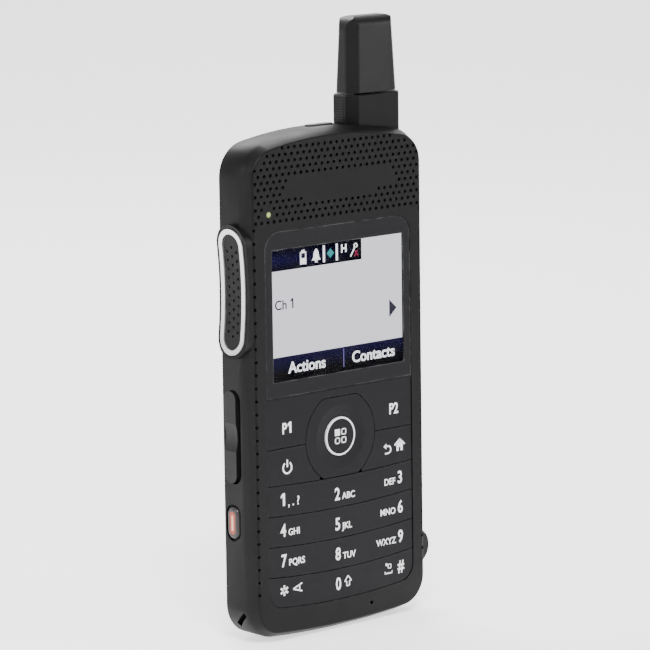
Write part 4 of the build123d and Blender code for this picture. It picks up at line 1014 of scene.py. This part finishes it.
# Icons are drawn about the origin, then placed along the middle of the header bar.
HEADER_Z = SCREEN_TOP - HEADER_HEIGHT / 2
ICON_SCALE = 0.86
BATTERY_ICON = [
    rectangle(-1.05, -0.75, -2.0, 1.1), rectangle(0.75, 1.05, -2.0, 1.1),
    rectangle(-1.05, 1.05, 1.1, 1.4), rectangle(-0.5, 0.5, 1.4, 1.9),
    rectangle(-0.65, 0.65, -1.9, -0.3),
]
BELL_ICON = [
    [(-1.55, -1.3), (1.55, -1.3), (1.0, -0.5), (0.8, 0.8), (0.35, 1.5), (0.0, 1.8),
     (-0.35, 1.5), (-0.8, 0.8), (-1.0, -0.5)],
    rectangle(-0.4, 0.4, -1.9, -1.45),
]
TOOL_ICON = [
    stroke(((-1.2, -1.7), (0.5, 0.9)), 0.35),
    arc_band(0.65, 1.1, 0.55, 0.3, -60, 240, 12),
]
TOOL_CROSS = [
    stroke(((0.3, -0.2), (1.3, -1.5)), 0.35),
    stroke(((1.2, -0.2), (0.2, -1.5)), 0.35),
]
DIAMOND = [(-1.1, 0.0), (0.0, -1.1), (1.1, 0.0), (0.0, 1.1)]
LEVEL_BAR = rectangle(-0.28, 0.28, -1.9, 2.0)
tool_x = MIDDLE_X + 5.2
header_icons = moved(BATTERY_ICON, MIDDLE_X - 10.5, HEADER_Z, ICON_SCALE)
header_icons += moved(BELL_ICON, MIDDLE_X - 6.5, HEADER_Z, ICON_SCALE)
header_icons += moved(TOOL_ICON, tool_x, HEADER_Z, ICON_SCALE)
for bar_x in (-4.1, -0.1):
    header_icons += moved([LEVEL_BAR], MIDDLE_X + bar_x, HEADER_Z)
on_screen(plates("header_icons", header_icons, *MARK_D), LIT_WHITE)
screen_text("header_letter", "H", 1.9, MIDDLE_X + 2.1, HEADER_Z + 0.75, LIT_WHITE, bold=0.06)
screen_plate("header_diamond", moved([DIAMOND], MIDDLE_X - 2.1, HEADER_Z)[0], MARK_D, LIT_TEAL)
on_screen(plates("header_cross", moved(TOOL_CROSS, tool_x, HEADER_Z), *MARK_D), LIT_RED)

SOFT_KEY_TEXT = 2.7
SOFT_KEY_Z = SCREEN_BOTTOM + SOFT_KEY_HEIGHT / 2 + 0.15
for name, words, x in (("soft_key_left", "Actions", -9.7), ("soft_key_right", "Contacts", 11.0)):
    screen_text(name, words, SOFT_KEY_TEXT, MIDDLE_X + x, SOFT_KEY_Z, LIT_WHITE, bold=0.05)
screen_plate(
    "soft_key_divider",
    rectangle(MIDDLE_X + 1.5, MIDDLE_X + 1.75, SCREEN_BOTTOM + 0.9, SCREEN_BOTTOM + 5.3),
    MARK_D, LIT_BLUE,
)
CHANNEL_TEXT = 2.3
CHANNEL_Z = SCREEN_TOP - 12.7
screen_text(
    "channel_text", "Ch", CHANNEL_TEXT, MIDDLE_X - 19.4, CHANNEL_Z, DARK_MARK, align="LEFT", bold=0.02
)
screen_plate(
    "channel_number", digit_one(MIDDLE_X - 14.1, CHANNEL_Z, CHANNEL_TEXT, 0.36), MARK_D, DARK_MARK
)
ARROW = [(0.0, -2.05), (2.3, 0.0), (0.0, 2.05)]
screen_plate(
    "channel_arrow", moved([ARROW], MIDDLE_X + 16.2, SCREEN_TOP - 17.5)[0], MARK_D, DARK_MARK
)


# ---- key markings --------------------------------------------------------------------
KEY_FACE_D = box_mm("key_row_1")[0].y - FRONT_Y
PRINT_PROUD = 0.03
PRINT_D = (KEY_FACE_D - PRINT_PROUD, KEY_FACE_D + HIDE_UNDER)
PRINT = printed_white()
DIGIT_HEIGHT = 3.0
DIGIT_STROKE = 0.62
LETTER_HEIGHT = 1.6
STAR_REACH = 1.25
COLUMN_X = (MIDDLE_X - 18.1, MIDDLE_X - 1.25, MIDDLE_X + 18.7)
ROW_LABELS = [
    [("1", ", . ?"), ("2", "ABC"), ("3", "DEF")],
    [("4", "GHI"), ("5", "JKL"), ("6", "MNO")],
    [("7", "PQRS"), ("8", "TUV"), ("9", "WXYZ")],
    [("*", ""), ("0", ""), ("#", "")],
]
LABEL_DROP = (3.45, 4.6, 3.5)       # below the top corner of the row, for each column


def printed(piece, body):
    return place_piece(piece, body, PRINT)


def printed_marks(name, outlines, x, z, body, depths=PRINT_D):
    return printed(plates(name, moved(outlines, x, z), *depths), body)


def key_text(name, words, height, x, z, body, align="CENTER", bold=0.09, narrow=0.8):
    return printed(
        flat_text(name, words, height, x, z, *PRINT_D, align=align, bold=bold, narrow=narrow), body
    )


for row_number, labels in enumerate(ROW_LABELS, start=1):
    row_name = f"key_row_{row_number}"
    row_top = box_mm(row_name)[1].z
    for column, (digit, letters) in enumerate(labels):
        x = COLUMN_X[column]
        z = row_top - LABEL_DROP[column]
        name = f"mark_{row_number}_{column + 1}"
        if digit == "*":
            spokes = []
            for angle in (math.pi / 2, math.pi / 6, -math.pi / 6):
                dx, dz = STAR_REACH * math.cos(angle), STAR_REACH * math.sin(angle)
                spokes.append(stroke(((x - dx, z - dz), (x + dx, z + dz)), 0.5))
            printed_marks(name, spokes, x=0.0, z=0.0, body=row_name)
        elif digit == "1":
            printed(outline_plate(name, digit_one(x, z, DIGIT_HEIGHT, DIGIT_STROKE), *PRINT_D), row_name)
        else:
            key_text(name, digit, DIGIT_HEIGHT, x, z, row_name)
        if letters:
            side, align = (-1, "RIGHT") if column == 2 else (1, "LEFT")
            low_z = z - (DIGIT_HEIGHT - LETTER_HEIGHT) / 2
            size = 1.3 if digit == "1" else 1.0
            key_text(
                name + "_letters", letters, LETTER_HEIGHT * size, x + side * 1.5, low_z, row_name,
                align, 0.045, 0.95,
            )

row_4_top = box_mm("key_row_4")[1].z
SPEAKER_ARROW = [
    stroke(((-1.5, -0.1), (1.3, 0.95)), 0.35),
    stroke(((-1.5, -0.1), (1.3, -0.95)), 0.35),
    stroke(((0.5, 0.7), (0.5, -0.7)), 0.35),
]
printed_marks(
    "mark_speaker_arrow", SPEAKER_ARROW, COLUMN_X[0] + 4.2, row_4_top - LABEL_DROP[0], "key_row_4"
)
UP_CORNERS = [
    (-0.45, -1.2), (0.45, -1.2), (0.45, -0.1), (1.1, -0.1), (0.0, 1.2), (-1.1, -0.1), (-0.45, -0.1)
]
SHIFT_ARROW = [stroke(ends, 0.28) for ends in zip(UP_CORNERS, UP_CORNERS[1:] + UP_CORNERS[:1])]
printed_marks(
    "mark_shift_arrow", SHIFT_ARROW, COLUMN_X[1] + 3.0, row_4_top - LABEL_DROP[1] + 0.2, "key_row_4"
)


def hollow_square(x, z, half, width):
    return [
        rectangle(x - half, x + half, z + half - width, z + half),
        rectangle(x - half, x + half, z - half, z - half + width),
        rectangle(x - half, x - half + width, z - half, z + half),
        rectangle(x + half - width, x + half, z - half, z + half),
    ]


PAGE_AND_SPACE = hollow_square(0.35, 0.3, 0.6, 0.26) + [
    rectangle(-0.9, -0.35, 0.5, 1.15),
    stroke(((-1.25, -1.35), (1.25, -1.35)), 0.3),
    stroke(((-1.12, -1.4), (-1.12, -0.85)), 0.26),
    stroke(((1.12, -1.4), (1.12, -0.85)), 0.26),
]
printed_marks(
    "mark_page_and_space", PAGE_AND_SPACE, COLUMN_X[2] - 4.0, row_4_top - LABEL_DROP[2], "key_row_4"
)
P_HEIGHT = 2.6
P_NARROW = 0.82
function_top = box_mm("function_bar")[1].z
p1_z = function_top - 7.0
p1_digit = digit_one(MIDDLE_X - 15.75, p1_z, P_HEIGHT, DIGIT_STROKE)
printed(outline_plate("mark_p1_digit", p1_digit, *PRINT_D), "function_bar")
key_text("mark_p1", "P", P_HEIGHT, MIDDLE_X - 17.3, p1_z, "function_bar", narrow=P_NARROW)
key_text(
    "mark_p2", "P2", P_HEIGHT, MIDDLE_X + 16.9, function_top - 6.95, "function_bar", narrow=P_NARROW
)

power_z = (box_mm("power_key")[0].z + box_mm("power_key")[1].z) / 2
POWER_SIGN = [arc_band(0.0, -0.15, 1.3, 0.42, 125, 415, 30), rectangle(-0.21, 0.21, 0.0, 1.75)]
printed_marks("mark_power", POWER_SIGN, MIDDLE_X - 16.6, power_z, "power_key")
BACK_ARROW = [
    arc_band(0.1, -0.35, 0.85, 0.38, -110, 90, 16),
    rectangle(-0.7, 0.12, 0.31, 0.69),
    [(-1.35, 0.5), (-0.45, -0.2), (-0.45, 1.2)],
    rectangle(-0.9, -0.1, -1.42, -1.05),
]
printed_marks("mark_back", BACK_ARROW, MIDDLE_X + 14.9, power_z - 0.15, "home_key")
HOUSE = [
    stroke(((-1.6, 0.1), (0.1, 1.5)), 0.4),
    stroke(((1.6, 0.1), (-0.1, 1.5)), 0.4),
    [(-1.0, -1.35), (-0.3, -1.35), (-0.3, -0.45), (0.3, -0.45), (0.3, -1.35), (1.0, -1.35),
     (1.0, 0.2), (0.0, 1.0), (-1.0, 0.2)],
]
printed_marks("mark_home", HOUSE, MIDDLE_X + 18.7, power_z + 0.1, "home_key")

select_low, select_high = box_mm("select_button")
SELECT_D = select_low.y - FRONT_Y
menu_squares = [rectangle(-1.75, -0.2, 0.2, 1.75)]
for side_x, side_z in ((1, 1), (-1, -1), (1, -1)):
    menu_squares += hollow_square(side_x * 0.98, side_z * 0.98, 0.77, 0.28)
printed_marks(
    "mark_menu", menu_squares, (select_low.x + select_high.x) / 2, (select_low.z + select_high.z) / 2,
    "select_key", (SELECT_D - PRINT_PROUD, SELECT_D + HIDE_UNDER),
)


# ---- antenna base ribs ---------------------------------------------------------------
stub_low, stub_high = box_mm("antenna_base")
rib_tree = repeat_tree("stub ribs", ["Proud", "Length", "Rib width"], bar_shape)
rib_places = []
RIB_STEP = 0.62
rib_z = BODY_TOP + 0.2
while rib_z < stub_high.z - 0.8:
    rib_places.append((stub_low.x + 0.05, (stub_low.y + stub_high.y) / 2, rib_z))
    rib_z += RIB_STEP
ribs = repeat(
    "stub_ribs", rib_places, rib_tree, FINISHES["housing"],
    {"Proud": 0.3 * MM, "Length": 2.6 * MM, "Rib width": 0.28 * MM},
)
place_piece(ribs, "radio_body", FINISHES["housing"])


# ---- floor, lights and camera --------------------------------------------------------
def stage_finish():
    """Pale paper that gives its own light behind the object, and none in front of it."""
    finish = Finish("pale studio paper", Roughness=0.9, Emission_Strength=1.15)
    make = finish.make
    fibre = make.noise(make.place(), 900.0, 3.0)
    colour = make.mix(fibre, rgba((0.90, 0.90, 0.90)), rgba((0.93, 0.93, 0.93)))
    finish.feed("Base Color", colour)
    glow = make.ramp(make.place_xyz()["Y"], -0.2, 0.0, interpolation_type="SMOOTHSTEP")
    finish.feed(
        "Emission Color",
        make.mix(glow, rgba((0.0, 0.0, 0.0)), rgba((1.0, 1.0, 1.0))),
    )
    return finish.material


def sweep_backdrop():
    """Floor that curves up into a wall behind the object."""
    profile = [(FLOOR_FRONT, 0.0), (BEND_START, 0.0)]
    for step in range(1, 13):
        angle = math.pi / 2 * step / 12
        profile.append((
            BEND_START + BEND_RADIUS * math.sin(angle), BEND_RADIUS - BEND_RADIUS * math.cos(angle)
        ))
    profile.append((BEND_START + BEND_RADIUS, WALL_TOP))
    turn = Matrix.Rotation(VIEW_TURN, 4, "Z")
    mesh = bpy.data.meshes.new("studio_sweep")
    points = [turn @ Vector((side * SWEEP_HALF, y, z)) for y, z in profile for side in (-1, 1)]
    faces = [(2 * i, 2 * i + 1, 2 * i + 3, 2 * i + 2) for i in range(len(profile) - 1)]
    mesh.from_pydata(points, [], faces)
    sweep = object_from("studio_sweep", mesh)
    mesh.materials.append(stage_finish())
    soften(sweep, 60)


# The sweep, in metres.
FLOOR_FRONT = -8.0
BEND_START = 0.9
BEND_RADIUS = 0.5
WALL_TOP = 3.4
SWEEP_HALF = 7.0
VIEW_TURN = math.radians(-41.7579)
VIEW_RISE = math.radians(9.5120)
VIEW_ROLL = math.radians(-0.80203)
VIEW_AWAY = 0.85087
SENSOR_WIDTH = 36.0
FOCAL_LENGTH = 204.296012      # mm, for the sensor width above
VIEW_TARGET = Vector((MIDDLE_X - 4.5466, -10.8, 72.589)) * MM
sweep_backdrop()


def area_light(name, place, size, power):
    """A rectangular light aimed at the middle of the object."""
    light = bpy.data.lights.new(name, "AREA")
    light.shape = "RECTANGLE"
    light.size, light.size_y = size
    light.energy = power
    holder = bpy.data.objects.new(name, light)
    bpy.context.scene.collection.objects.link(holder)
    holder.location = place
    holder.rotation_euler = (AIM - Vector(place)).to_track_quat("-Z", "Y").to_euler()


AIM = Vector((0.0, 0.0, 0.07))
area_light("key_light", (-0.35, -0.5, 0.85), (0.4, 0.25), 14.0)
area_light("side_light", (-0.95, 0.15, 0.45), (0.2, 0.5), 5.5)
area_light("front_light", (0.55, -0.75, 0.35), (0.12, 0.5), 4.0)
area_light("back_light", (0.3, 0.6, 0.8), (0.6, 0.3), 8.0)

world = bpy.data.worlds.new("soft white room")
world.use_nodes = True
room = world.node_tree.nodes["Background"].inputs
room["Color"].default_value = rgba((1.0, 1.0, 1.0))
room["Strength"].default_value = 0.36
bpy.context.scene.world = world

back = Vector((
    math.sin(VIEW_TURN) * math.cos(VIEW_RISE),
    -math.cos(VIEW_TURN) * math.cos(VIEW_RISE),
    math.sin(VIEW_RISE),
))
right = Vector((math.cos(VIEW_TURN), math.sin(VIEW_TURN), 0.0))
upward = back.cross(right)
right_rolled = right * math.cos(VIEW_ROLL) + upward * math.sin(VIEW_ROLL)
upward_rolled = upward * math.cos(VIEW_ROLL) - right * math.sin(VIEW_ROLL)
lens = bpy.data.cameras.new("studio_camera")
lens.sensor_width = SENSOR_WIDTH
lens.lens = FOCAL_LENGTH
lens.clip_start = 0.01
camera = bpy.data.objects.new("studio_camera", lens)
bpy.context.scene.collection.objects.link(camera)
stand = VIEW_TARGET + back * VIEW_AWAY
camera.matrix_world = Matrix((
    (right_rolled.x, upward_rolled.x, back.x, stand.x),
    (right_rolled.y, upward_rolled.y, back.y, stand.y),
    (right_rolled.z, upward_rolled.z, back.z, stand.z),
    (0.0, 0.0, 0.0, 1.0),
))
bpy.context.scene.camera = camera
